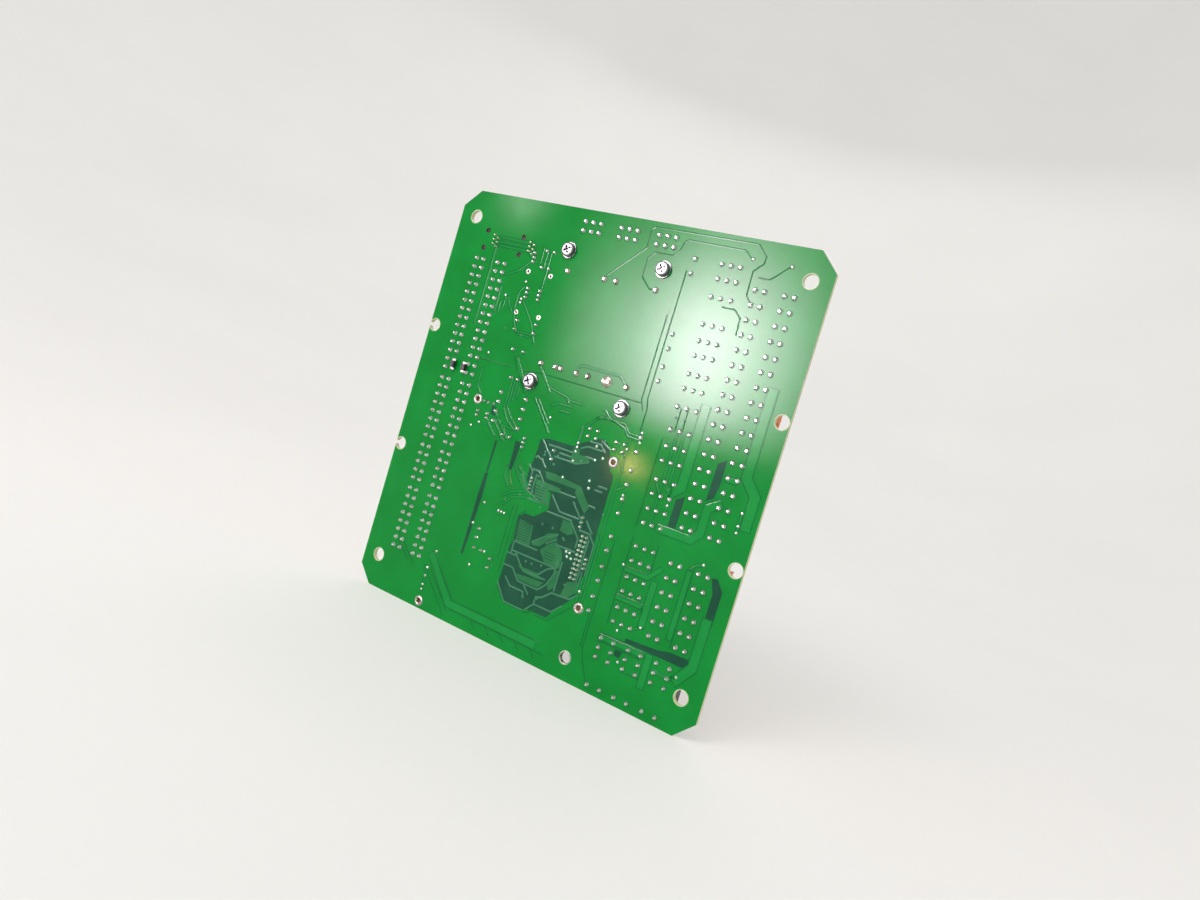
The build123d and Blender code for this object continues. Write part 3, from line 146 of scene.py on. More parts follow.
def vary_roughness(made, low, high, scale):
    span = add_node(made, "MapRange", {
        "Value": noise_of(made, scale), "From Min": 0.3, "From Max": 0.7,
        "To Min": low, "To Max": min(1.0, high),
    })
    set_input(made, shader_of(made), "Roughness", span.outputs["Result"])


def add_bump(made, height, strength, distance, edge_radius=0.0):
    """Bump from a height; with a radius, edges also catch light as moulded ones do."""
    inputs = {"Strength": strength, "Distance": distance, "Height": height}
    if edge_radius:
        soft = add_node(made, "Bevel", {"Radius": edge_radius}, samples=4)
        inputs["Normal"] = soft.outputs["Normal"]
    bump = add_node(made, "Bump", inputs)
    set_input(made, shader_of(made), "Normal", bump.outputs["Normal"])


def solder_mask(name, tones, dullness=1.0):
    """Glossy lacquer over copper or bare laminate."""
    roughness = MASK_ROUGHNESS * dullness
    made = new_material(name, tones[1], roughness)
    vary_colour(made, *tones, 45.0)
    vary_roughness(made, roughness * 0.85, roughness * 1.2, 120.0)
    add_bump(made, noise_of(made, 260.0), 0.12, 0.00005)
    set_input(made, shader_of(made), "Specular IOR Level", MASK_SPECULAR)
    return made


def board_material():
    """Solder mask on both faces, pale cut laminate on the edges and hole walls."""
    made = solder_mask(BOARD_SLOT, MASK_GREEN)
    mask = shader_of(made).inputs["Base Color"].links[0].from_socket
    normal = add_node(made, "NewGeometry").outputs["True Normal"]
    facing = add_node(made, "SeparateXYZ", {"Vector": normal}).outputs["Y"]
    size = add_node(made, "Math", {0: facing}, operation="ABSOLUTE").outputs[0]
    on_face = add_node(made, "Math", {0: size, 1: 0.5}, operation="GREATER_THAN").outputs[0]
    cut = ramp_of(made, noise_of(made, 900.0, (0.3, 4.0, 0.3)), *CUT_EDGE)
    mix = add_node(made, "Mix", {"Factor": on_face, "A": cut, "B": mask}, data_type="RGBA")
    set_input(made, shader_of(made), "Base Color", mix.outputs["Result"])


def metal(name, dark, light, roughness, scale=400.0, bump=0.0, stretch=None, shine=1.0):
    """Metal; a shine below 1 lightens small rounded shapes as scattered light does."""
    made = new_material(name, light, roughness, shine)
    vary_colour(made, dark, light, scale, stretch)
    vary_roughness(made, roughness * 0.75, roughness * 1.35, scale * 1.7)
    if bump:
        add_bump(made, noise_of(made, scale * 2.0, stretch), 0.4, bump)


def plastic(name, dark, light, roughness, grain=2200.0, bump=0.00003):
    """Moulded plastic with a fine spark-eroded texture."""
    made = new_material(name, light, roughness)
    vary_colour(made, dark, light, 160.0)
    vary_roughness(made, roughness * 0.85, roughness * 1.2, 500.0)
    add_bump(made, noise_of(made, grain), 0.35, bump, MOULDED_EDGE_RADIUS)


def striped(made, direction, scale, dark, light, distance, distortion):
    """Fine parallel ridges, such as sheet edges or turns of wire or tape."""
    place = add_node(made, "TexCoord").outputs["Object"]
    ridges = add_node(made, "TexWave", {
        "Scale": scale, "Distortion": distortion, "Detail Scale": 1.5, "Vector": place,
    }, bands_direction=direction).outputs["Fac"]
    mix = add_node(made, "Mix", {
        "Factor": 0.35, "A": ramp_of(made, ridges, dark, light, 0.0, 0.55),
        "B": noise_of(made, 35.0),
    }, data_type="RGBA", blend_type="MULTIPLY")
    set_input(made, shader_of(made), "Base Color", mix.outputs["Result"])
    add_bump(made, ridges, 0.6, distance)


board_material()
solder_mask("mask_over_trace", TRACE_GREEN)
solder_mask("mask_in_groove", GROOVE_GREEN)
solder_mask("mask_over_laminate", BARE_GREEN, 1.2)
solder_mask("mask_over_fine_trace", FINE_GREEN, 1.2)
solder_mask("mask_over_island", ISLAND_GREEN, 1.2)
# The solder's own grey is darkened and tinted green here as a painted reflection of dark and green
# surroundings.
metal("solder", (0.34, 0.43, 0.36), (0.52, 0.62, 0.54), 0.25, 700.0, 0.00001, shine=0.85)
metal("old_solder", (0.20, 0.15, 0.09), (0.56, 0.54, 0.46), 0.30, 420.0, 0.00002, shine=0.85)
metal("worn_tin", (0.25, 0.24, 0.21), (0.38, 0.37, 0.33), 0.40, 420.0, shine=0.85)
# Near-black painted shade for the inside of holes; plated copper walls are not this dark.
metal("hole_shade_paint", (0.012, 0.010, 0.009), (0.030, 0.022, 0.018), 0.75, 500.0, shine=0.2)
metal("tinned_metal", (0.46, 0.46, 0.43), (0.62, 0.62, 0.59), 0.28, 300.0)
metal("plated_steel", (0.17, 0.17, 0.18), (0.27, 0.27, 0.28), 0.34, 160.0)
metal("black_aluminium", (0.035, 0.035, 0.038), (0.060, 0.060, 0.064), 0.42, 600.0, 0.00003,
      (0.2, 2.0, 2.0))
metal("plated_brass", (0.60, 0.50, 0.30), (0.78, 0.69, 0.48), 0.27, 300.0)
metal("can_top", (0.62, 0.63, 0.64), (0.80, 0.81, 0.82), 0.36, 500.0, shine=0.55)
metal("crystal_can", (0.66, 0.66, 0.67), (0.84, 0.84, 0.85), 0.22, 300.0)
striped(new_material("core_steel", (0.10, 0.10, 0.11), 0.46, 0.6),
        "Y", 300.0, (0.035, 0.035, 0.038), (0.17, 0.17, 0.18), 0.00010, 0.5)
striped(new_material("copper_winding", (0.60, 0.26, 0.08), 0.36, 0.9),
        "Z", 360.0, (0.16, 0.05, 0.015), (0.70, 0.33, 0.12), 0.00022, 0.4)
striped(new_material("winding_tape", (0.70, 0.50, 0.05), 0.28),
        "X", 34.0, (0.56, 0.40, 0.07), (0.66, 0.49, 0.11), 0.00010, 2.0)
plastic("cut_laminate", (0.40, 0.46, 0.24), (0.62, 0.66, 0.44), 0.6, 1500.0)
plastic("bobbin_plastic", (0.010, 0.010, 0.011), (0.020, 0.020, 0.021), 0.46)
plastic("relay_cover", (0.012, 0.013, 0.015), (0.020, 0.021, 0.024), 0.34, 1500.0, 0.000015)
plastic("chip_plastic", (0.010, 0.010, 0.011), (0.022, 0.022, 0.023), 0.52)
plastic("orange_plastic", (0.74, 0.17, 0.015), (0.83, 0.21, 0.022), 0.38)
plastic("header_plastic", (0.012, 0.012, 0.013), (0.022, 0.022, 0.023), 0.42)
plastic("can_sleeve", (0.006, 0.008, 0.028), (0.010, 0.013, 0.042), 0.28, 900.0)
plastic("can_stripe", (0.50, 0.52, 0.56), (0.62, 0.64, 0.68), 0.30, 900.0)
plastic("ferrite", (0.030, 0.030, 0.032), (0.062, 0.062, 0.065), 0.55, 1400.0, 0.00008)
plastic("button_plastic", (0.012, 0.012, 0.012), (0.022, 0.022, 0.022), 0.40)
plastic("legend_ink", (0.72, 0.74, 0.70), (0.84, 0.85, 0.82), 0.55, 1800.0)

# Looks of the record slots and CAD nodes whose material has another name.
SLOT_LOOKS = {"aluminium": "black_aluminium", "brass": "plated_brass"}
NODE_LOOKS = {"transformer_windings": "winding_tape"}


def dress_cad_nodes():
    """Every CAD node takes the material of its record slot, and the windings their tape."""
    for part in frame["record"]["subparts"]:
        node = frame["nodes"].get(part["node"])
        if node is None:
            continue
        slot = part["material_slot"]
        look = NODE_LOOKS.get(part["node"], SLOT_LOOKS.get(slot, slot))
        node.data.materials.clear()
        node.data.materials.append(MATERIALS[look])


dress_cad_nodes()


# ---------------------------------------------------------------- mesh helpers
OFF_SOLDER_FACE, CLOSED, OFF_COMPONENT_FACE = -1, 0, 1
# Vertices nearer than this are one vertex of a CAD solid.
SAME_PLACE = 0.002 * MM
# Below this cosine a mitre is cut short.
SHARPEST_MITRE = 0.4
BLOCK_FACES = (
    (0, 1, 3, 2), (4, 6, 7, 5), (0, 4, 5, 1), (2, 3, 7, 6), (0, 2, 6, 4), (1, 5, 7, 3),
)


def turn_faces(mesh, side):
    """Faces that aren't steep all point off the board; those of closed shapes point out."""
    bmesh.ops.recalc_face_normals(mesh, faces=mesh.faces[:])
    for face in mesh.faces:
        if side * face.normal.y < -0.2:
            face.normal_flip()


def link(name, data):
    made = bpy.data.objects.new(name, data)
    bpy.context.scene.collection.objects.link(made)
    return made


def mesh_object(name, mesh, material, smooth=False):
    data = bpy.data.meshes.new(name)
    mesh.to_mesh(data)
    mesh.free()
    data.materials.append(material)
    if smooth:
        for face in data.polygons:
            face.use_smooth = True
    return link(name, data)


def add_piece(name, mesh, look, side, body="board", smooth=False):
    """New object from a bmesh, riding on a body; no side leaves its faces as they were made."""
    if side is not None:
        turn_faces(mesh, side)
    piece = mesh_object(name, mesh, MATERIALS[look], smooth)
    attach(piece, body)
    return piece


def spot(left, down, height=0.0):
    """Frame point above a place on the solder face."""
    return Vector((BOARD_LOW.x + left * MM, SOLDER_FACE - height * MM, BOARD_HIGH.z - down * MM))


def solder_seat(centre):
    """Function from local mm to a frame point; local z points off the solder face."""
    def place(x, y, z=0.0):
        return centre + Vector((x, -z, y)) * MM

    return place


def seat(left, down, turn="right"):
    """Function from local mm to a frame point; local z points off the component face."""
    origin = Vector((BOARD_LOW.x + left * MM, COMPONENT_FACE, BOARD_HIGH.z - down * MM))
    along, across = {
        "right": (Vector((1, 0, 0)), Vector((0, 0, -1))),
        "up": (Vector((0, 0, 1)), Vector((1, 0, 0))),
        "left": (Vector((-1, 0, 0)), Vector((0, 0, 1))),
    }[turn]

    def place(x, y, z=0.0):
        return origin + (along * x + across * y + Vector((0, z, 0))) * MM

    return place


def circle(radius, segments=24):
    angles = [2 * math.pi * index / segments for index in range(segments)]
    return [(radius * math.cos(angle), radius * math.sin(angle)) for angle in angles]


def square(half, segments=24):
    """Square outline with as many points as a circle, its corners cut a little."""
    points = []
    for x, y in circle(1.0, segments):
        reach = half / max(abs(x), abs(y), 0.74)
        points.append((x * reach, y * reach))
    return points


def skin(mesh, rings, closed=False):
    """Quads between rings of points; closed joins the last ring to the first."""
    rows = [[mesh.verts.new(point) for point in ring] for ring in rings]
    for low, high in zip(rows, rows[1:] + rows[:1] if closed else rows[1:]):
        for index in range(len(low)):
            after = (index + 1) % len(low)
            mesh.faces.new((low[index], high[index], high[after], low[after]))
    return rows


def lathe(mesh, place, profile, segments, closed_top=True):
    """Turned shape about a local z axis; profile is (radius, height) in mm."""
    rings = [[place(x, y, z) for x, y in circle(radius, segments)] for radius, z in profile]
    rows = skin(mesh, rings)
    if closed_top:
        mesh.faces.new(rows[-1])


def block(mesh, place, low, high):
    """Closed box between two local corners."""
    ends = tuple(zip(low, high))
    corners = [mesh.verts.new(place(x, y, z)) for x in ends[0] for y in ends[1] for z in ends[2]]
    for face in BLOCK_FACES:
        mesh.faces.new([corners[index] for index in face])


def polygon(mesh, points):
    mesh.faces.new([mesh.verts.new(point) for point in points])


def offsets(points, half_width, closed=False):
    """Left and right border points of a mitred band along a route in the XZ plane."""
    left, right = [], []
    last = len(points) - 1
    for index, here in enumerate(points):
        before = here - points[index - 1] if index > 0 or closed else None
        after = points[(index + 1) % len(points)] - here if index < last or closed else None
        first = (before or after).normalized()
        second = (after or before).normalized()
        side_a = Vector((-first.z, 0, first.x))
        side_b = Vector((-second.z, 0, second.x))
        side = (side_a + side_b).normalized()
        reach = half_width / max(SHARPEST_MITRE, side.dot(side_a))
        left.append(here + side * reach)
        right.append(here - side * reach)
    return left, right


def flat_band(mesh, points, width, closed=False):
    """Flat strip along frame points."""
    borders = offsets(points, width * MM / 2, closed)
    left, right = ([mesh.verts.new(point) for point in border] for border in borders)
    for index in range(len(points) if closed else len(points) - 1):
        after = (index + 1) % len(points)
        mesh.faces.new((left[index], left[after], right[after], right[index]))


def raised_band(mesh, route, width, base, top, slope):
    """Raised strip along a route on the solder face; its sides slope down to the base height."""
    points = [spot(*place) for place in route]
    for end, inner in ((0, 1), (-1, -2)):
        points[end] = points[end] + (points[end] - points[inner]).normalized() * width * MM / 2
    rows = []
    for half, height in ((width / 2, base), (width / 2 - slope, top)):
        lift = Vector((0, SOLDER_FACE - height * MM - points[0].y, 0))
        for border in offsets(points, half * MM):
            rows.append([mesh.verts.new(point + lift) for point in border])
    outer_left, outer_right, inner_left, inner_right = rows
    rows = (outer_left, inner_left, inner_right, outer_right)
    for index in range(len(points) - 1):
        for a, b in zip(rows, rows[1:]):
            mesh.faces.new((a[index], a[index + 1], b[index + 1], b[index]))
    for index in (0, -1):
        mesh.faces.new([row[index] for row in rows])


def loose_parts(node_name):
    """Lowest and highest corner of each separate solid in a CAD node."""
    mesh = bmesh.new()
    mesh.from_mesh(frame["nodes"][node_name].data)
    bmesh.ops.remove_doubles(mesh, verts=mesh.verts[:], dist=SAME_PLACE)
    seen, boxes = set(), []
    for start in mesh.verts:
        if start in seen:
            continue
        seen.add(start)
        stack, low, high = [start], start.co.copy(), start.co.copy()
        while stack:
            vert = stack.pop()
            low = Vector(map(min, low, vert.co))
            high = Vector(map(max, high, vert.co))
            for edge in vert.link_edges:
                other = edge.other_vert(vert)
                if other not in seen:
                    seen.add(other)
                    stack.append(other)
        boxes.append((low, high))
    mesh.free()
    return boxes


def on_board(low, high):
    """Left, right, top and bottom of a frame box on the board, and its height."""
    return (
        (low.x - BOARD_LOW.x) / MM, (high.x - BOARD_LOW.x) / MM,
        (BOARD_HIGH.z - high.z) / MM, (BOARD_HIGH.z - low.z) / MM, (high.y - COMPONENT_FACE) / MM,
    )


def parts_on_board(*node_names):
    return [on_board(*box) for name in node_names for box in loose_parts(name)]


# ---------------------------------------------------------------- copper pattern
# Gaps between copper areas, and raised traces: routes on the solder face.
GROOVES = (
    ((109.5, 33), (128.5, 14.5), (128.5, 4.5), (130, 3), (189, 2.5), (194.5, 8), (194.5, 11.5),
     (190, 16), (190.5, 28.5), (194, 32)),
    ((141, 35), (137, 35.3), (131, 30), (131, 19.5), (134.5, 16), (144.5, 16), (148, 12.5),
     (149, 8.5), (151, 6.6), (183, 6.6), (188, 10.8)),
    ((151.6, 46.5), (151.6, 91.5), (154, 97)),
    ((154.8, 22.5), (154.8, 90), (156.2, 95), (156.2, 107.5)),
    ((194, 18.6), (199.5, 18.6), (202, 16.5), (207.6, 11)),
    ((180, 36.2), (186.8, 36.2), (190.8, 40), (191.2, 48)), ((174.8, 90.5), (174.8, 102)),
    ((178.8, 91), (178.8, 102)), ((88, 93.2), (152, 93.2)), ((70, 95), (88, 93.2)),
    ((43, 94.5), (66, 94.5)), ((160.6, 165), (160.6, 224), (163, 230), (167.5, 238.5)),
    ((158.9, 206), (159, 223)), ((168, 211.8), (183, 211.8)), ((168, 216.4), (193, 216.4)),
    ((186, 226), (196, 226)), ((46, 218.5), (69, 241)), ((52.5, 220), (71, 238.5)),
    ((50, 209), (73, 231), (131, 231)), ((73, 236.4), (139, 236.4)), ((88, 236), (92, 240)),
    ((98.5, 236), (102.5, 240)), ((109, 236), (113, 240)), ((119.5, 236), (123.5, 240)),
    ((130, 236), (134, 240)), ((20, 206), (30, 214), (38, 221)), ((22, 211), (33, 220)),
    ((103, 167.5), (99.3, 171.5), (99.3, 212.5), (106, 219.3), (122.5, 219.3), (126.5, 215.3)),
    ((127.5, 218.5), (135.5, 218.5), (141, 213), (147.5, 206.5), (150.6, 200)),
    ((97, 166), (97, 205)), ((94.2, 168), (94.2, 198)), ((169.5, 108), (169.5, 154)),
    ((170, 160), (170, 206)), ((185, 160), (185, 172.5), (189, 175.8)),
    ((206.6, 163), (206.6, 205)),
)
TRACES = (
    ((33.5, 24.4), (55, 24.4)), ((33.5, 27), (57.5, 27)), ((33.5, 29.2), (55, 29.2), (60, 34.2)),
    ((31.8, 30), (31.8, 75.5)), ((71, 28), (71, 50)), ((68.3, 27.5), (68.3, 36)),
    ((65.2, 26), (65.2, 34)), ((59.3, 49), (56.8, 52.5), (56.8, 62), (58.6, 68), (61.2, 73)),
    ((61.6, 57.5), (66, 62.5), (71, 68.2), (73.8, 74), (76.2, 78)), ((62, 74.4), (74, 74.4)),
    ((64, 75.6), (71, 75.6)), ((46, 66), (46, 61), (50.4, 57), (52.4, 60.5), (55.2, 64)),
    ((44.2, 44.5), (52, 41), (58.6, 34.6)), ((43.4, 52), (43.4, 66)), ((48.6, 62), (48.6, 57.2)),
    ((85.4, 90), (92, 97.4), (96, 101.6)), ((88, 92), (94, 99), (108, 101.8), (109.4, 104)),
    ((67.5, 89), (72.5, 96), (79, 104)), ((110, 84), (111.4, 83), (136, 83), (141.2, 88)),
    ((88, 107.4), (102.4, 122.8)), ((90.6, 107.4), (100.4, 118)),
    ((100, 108), (104, 106), (112, 106)), ((105.5, 109.6), (112, 109.6)), ((108, 103), (118, 103)),
    ((123.4, 122), (123.4, 114.4), (131.5, 106.2), (146.6, 106.2), (150.5, 110.2), (156.8, 110.2)),
    ((130, 107.6), (136, 105.4), (147, 108.2), (150, 111.8), (156.6, 112)),
    ((133, 102.4), (136.4, 105)), ((69.5, 100), (69.5, 118), (73.4, 123.6), (79.6, 127.6)),
    ((71.5, 101), (71.5, 117), (75.4, 121.4), (81, 126)), ((73.5, 102), (73.5, 112)),
    ((75.5, 104), (75.5, 110)), ((66, 126.5), (69, 129.5), (74, 134.8)),
    ((67.6, 124.4), (72, 128.6), (76.6, 133.4)), ((63.6, 120.6), (66.4, 123.4)),
    ((69, 127), (79, 127.6)), ((47, 100), (47, 110), (50, 113.4)),
    ((59, 126), (63, 130), (68, 134)), ((88, 136), (88, 146), (92, 151), (98.5, 157.4)),
    ((90.4, 146), (95, 149.4), (100, 155)), ((83, 148), (83, 154), (86.6, 158)),
    ((85.4, 150), (88.6, 156.8)), ((176.6, 104), (176.6, 151)), ((180.4, 104), (180.4, 128)),
    ((172.4, 128), (176, 133.6)), ((158, 141), (157.9, 150)), ((150.8, 126), (153.4, 130)),
    ((153, 140), (157, 137)), ((152.2, 113), (152.2, 166)), ((150.9, 166), (150.9, 199)),
    ((152.6, 166), (152.6, 201)), ((149.2, 190), (149.2, 203)), ((147.2, 194), (147.2, 198)),
    ((85.6, 164), (89.8, 160.6), (98, 158)), ((87.4, 168.4), (92, 163), (101, 160.6)),
    ((204.6, 164.5), (207, 162), (210.6, 160.4)), ((182.6, 129), (182.6, 134)),
    ((182.8, 139), (182.8, 143)), ((221.6, 130.4), (221.6, 140)), ((211, 219), (214.4, 216.8)),
    ((202.2, 219), (209.4, 219.4)), ((188.6, 201.4), (184, 204)), ((183, 196), (186, 193.4)),
    ((49.4, 220), (49.4, 233)), ((36.8, 190), (42, 187.6)), ((36.8, 141.6), (42, 139.6)),
)
# Wider copper: route and width.
WIDE_TRACES = (
    (((187.4, 88), (187.4, 128), (183.4, 131.6)), 5.0),
    (((182.8, 151), (200, 151), (204, 146.6), (204, 133.4), (208.6, 130.4)), 4.2),
    (((218.4, 71.5), (218.4, 113.5), (225.4, 121.4), (225.4, 135.6)), 5.0),
    (((220.8, 187), (220.8, 209.6), (215, 217.6)), 4.8),
    (((204.8, 167), (204.8, 200)), 2.6),
    (((188.6, 179), (188.6, 199.6)), 3.4),
    (((171.6, 176.6), (184, 176.6), (189.6, 170.6)), 2.2),
    (((171.6, 191.6), (184.6, 191.6)), 2.2),
    (((197.6, 214), (197.6, 228)), 3.6),
    (((170, 214.1), (193, 214.1)), 2.4),
    (((50.5, 212.5), (70.6, 233.6), (131, 233.6)), 4.2),
    (((69, 89.6), (75, 97.6), (79.6, 104.4)), 2.2),
    (((209.6, 117), (213, 117)), 2.6),
)
BARE_AREAS = (
    ((99, 128), (104, 126), (120.6, 125.6), (125, 122.4), (131.6, 119), (136, 117), (140.4, 118.6),
     (143, 123), (146, 131.6), (149, 134), (149.4, 168), (149, 197), (145, 204), (138, 211.6),
     (134.6, 217.2), (121, 217.6), (118.6, 219), (106, 218.6), (99.4, 211.4), (99, 191),
     (100.6, 185), (99.4, 172), (103, 169), (109, 169), (116.6, 162.6), (115.4, 154), (110, 150.6),
     (104.6, 158), (98, 157), (97.4, 145), (98.6, 140)),
    ((186.4, 134.6), (190.8, 131.6), (190.8, 148.4), (186.4, 148.4)),
    ((202.2, 111), (206.6, 108), (206.6, 122), (205.4, 128), (201.8, 130.4)),
    ((216.6, 165), (219.6, 164), (224, 169.6), (224, 187.6), (219.4, 183.6), (219.4, 172)),
    ((182.6, 209.4), (201, 208.2), (208, 206.6), (218, 206.4), (218, 211.4), (182.6, 211.4)),
    ((69.4, 156), (71.8, 155), (72.2, 168), (71.4, 190), (70.6, 204), (69, 204), (69, 170)),
    ((70, 136.6), (71.6, 136.6), (71.2, 155), (70, 155)),
    ((83.4, 133), (87.2, 133), (86.4, 149.6), (84.2, 149.6)),
    ((178.6, 217), (183, 217), (182, 220.6), (179, 220)),
    ((61, 118.6), (64, 118.6), (64.8, 124), (61.6, 123.4)),
)
# Copper left standing inside the large bare area.
ISLANDS = (
    ((125.6, 129), (131, 128.6), (133, 131), (126, 133.6), (121, 133.6), (121, 126), (124.6, 126)),
    ((108, 143.4), (114, 143), (130, 144.6), (132, 144.8), (140.4, 153.4), (138.6, 157.6),
     (129.6, 149), (129.6, 147), (110, 147)),
    ((104, 149), (120.4, 149.4), (120.4, 152), (113, 152.4), (116.4, 161), (106, 161)),
    ((127.4, 164.6), (132.6, 164.6), (136, 169.6), (132.6, 171.6), (127.4, 170.8)),
    ((120, 175), (127, 172.4), (127, 175), (122, 178.4), (118, 183), (113, 183.6), (112, 181.6),
     (117.4, 179.6)),
    ((101, 173), (110.6, 173.6), (111.6, 184.8), (102, 184.8)),
    ((119, 184.6), (123, 180), (127.4, 177), (132, 180.6), (133.6, 184), (133.6, 190), (123.6, 190),
     (121, 187)),
    ((131.8, 191.4), (133.8, 191.4), (133.8, 200.6), (131, 203.2), (129.4, 200.4)),
    ((108, 197), (121.4, 197), (125, 199.6), (119.6, 199.8), (113, 199.4)),
    ((120, 200.8), (127, 200.4), (124, 204.2), (111.4, 204.2), (108.6, 201.6)),
    ((140.6, 194.6), (146.6, 193), (149, 197), (143, 203), (139, 202.6)),
)
# Thin copper on the bare areas.
FINE_TRACES = (
    ((101, 127.8), (108.8, 135.6)), ((105.6, 129), (120.6, 129)),
    ((111, 134.2), (125, 134.2), (132, 131.4)), ((113.6, 131.6), (120.6, 131.6)),
    ((122.8, 114), (122.8, 121.6)), ((125.4, 125.4), (129, 123.4), (138, 123.4)),
    ((129.6, 129), (136, 129)), ((130, 120.4), (136.4, 120.4), (139.6, 123.4)),
    ((120, 151.4), (130.4, 151.4)), ((116.8, 154.6), (123.8, 161.4), (136, 161.4)),
    ((130.4, 154), (137.4, 161)), ((116.6, 163.6), (132, 163.6), (139.4, 171.4), (139.4, 176)),
    ((139, 166.8), (145.4, 166.8), (149.6, 171.6), (149.6, 188)),
    ((113, 182), (118, 178), (127, 173.4)), ((128, 178.6), (139.6, 178.6)),
    ((121.6, 180), (127, 176)), ((101.6, 185.4), (117, 185.4)),
    ((101.6, 190.6), (122, 190.6), (131, 190.6)), ((101.6, 186), (101.6, 192.4)),
    ((105, 191.6), (112, 198.6), (127, 198.6)), ((122, 197.6), (127, 192.6), (131, 190.8)),
    ((105.4, 199.4), (111, 205.2), (124.4, 205.2), (128.6, 201), (131.6, 194), (131.6, 186.4)),
    ((102.6, 205.6), (107, 209.4), (116, 209.4), (117, 212.4)), ((115.6, 206), (119.4, 209.6)),
    ((124.8, 213.6), (124.8, 209.2), (128.6, 208), (133.6, 203.6), (144.6, 203), (149.2, 199)),
    ((120.6, 217.8), (124.8, 213.2), (136.4, 213.2), (141.4, 208.2)), ((106, 218.9), (119, 218.9)),
    ((98.6, 210), (105.6, 218.4)), ((99, 199.4), (105, 199.4)), ((99.4, 192.6), (104.6, 192.6)),
    ((134.4, 186.4), (134.4, 202)), ((147.6, 187), (147.6, 194.6)), ((145.9, 170), (145.9, 193)),
    ((97, 143), (100, 146), (100, 156.4)), ((99, 144.6), (104, 144.6), (109, 149.6)),
    ((103.2, 147), (103.2, 157)), ((94, 149.6), (99.6, 156.6), (108, 159.6)),
    ((101, 160.6), (109, 160.6)), ((103.6, 138), (107, 141.4)), ((142.4, 141.4), (147, 141.4)),
    ((141, 144), (144.6, 144)), ((100.4, 137), (104, 138.4)), ((136.6, 118.6), (142.6, 121.4)),
    ((141.4, 161), (146.4, 166)), ((140.4, 152.8), (143.6, 152.8)),
)
# Left, right, first row, count and pitch of short parallel gaps across the copper.
COMBS = (
    (101.4, 109.6, 172.6, 9, 1.35), (122.4, 128.6, 184.4, 3, 1.6), (104.6, 110.6, 152.4, 5, 1.6),
)
VIAS = (
    (48, 56), (48, 90.3), (59.3, 46.1), (59.4, 56.1), (59.4, 58.3), (101, 114.8), (50.4, 132.9),
    (55.3, 129.8), (122.7, 123.2), (122.7, 125.4), (122.7, 128), (122.7, 133.2), (134.2, 121.9),
    (139.8, 126.9), (135.6, 129), (151.8, 118.2), (157.6, 107.9), (157.8, 113.1), (157.5, 141.5),
    (136, 140.3), (136.8, 144.2), (119.6, 143.3), (149.4, 196.9), (75, 171.8), (71.3, 185),
    (77, 208), (52.5, 208.7), (49.4, 219.7), (49.4, 224.6), (49.4, 230), (49.4, 232.8),
    (84.4, 197.6), (85.7, 173.2), (87.7, 173.2), (89.8, 173.2), (134.9, 180), (137.2, 180),
    (136.1, 182.4), (138.7, 182.6), (188.2, 10.3), (208.8, 10.4), (221.6, 130.3), (221.6, 136.8),
    (221.6, 140.1), (182.8, 139), (210.8, 160.3), (169.3, 174.8), (176.7, 207.6), (188.6, 201.4),
    (182.1, 222.4), (214.4, 216.8), (77, 186.8), (77, 191.8), (77, 197.8), (109.6, 131.4),
    (109.6, 136),
)
# Vias under the mask.
FAINT_VIAS = (
    (104.4, 133.4), (104.4, 135.2), (112.8, 133.4), (99.8, 137.8), (111.6, 138.4), (103.6, 156.6),
    (112.4, 193.4), (116.4, 193.4), (122.6, 192.2), (115.8, 171), (122.6, 171), (130.6, 174),
    (139.8, 196.8), (143.4, 153), (143.6, 141.4), (147, 141.4), (138, 118), (116.8, 211.8),
    (131.4, 174.6), (127.6, 132), (111.4, 163), (104.6, 147.4), (108.6, 152), (96.6, 143),
    (66.6, 75.8), (54.6, 74), (173.4, 95.4), (178.4, 95.4), (88, 165.8), (96.4, 160.4),
    (149.6, 154.6), (146.4, 116.8), (148.6, 118.2), (151.2, 122), (131.6, 154.6), (126, 209.6),
)
GROOVE_HEIGHT, GROOVE_WIDTH, GROOVE_SLOPE = 0.05, 0.80, 0.34
TRACE_HEIGHT, TRACE_WIDTH, TRACE_SLOPE = 0.055, 1.05, 0.32
FINE_WIDTH, FINE_SLOPE = 0.95, 0.26
COMB_WIDTH = 0.5
GAP_SLOPE = 0.1
# How much wider the gap round a trace is than the trace.
TRACE_GAP, WIDE_TRACE_GAP = 0.9, 1.1
# Height of one printed layer over the mask.
FLAT = 0.02


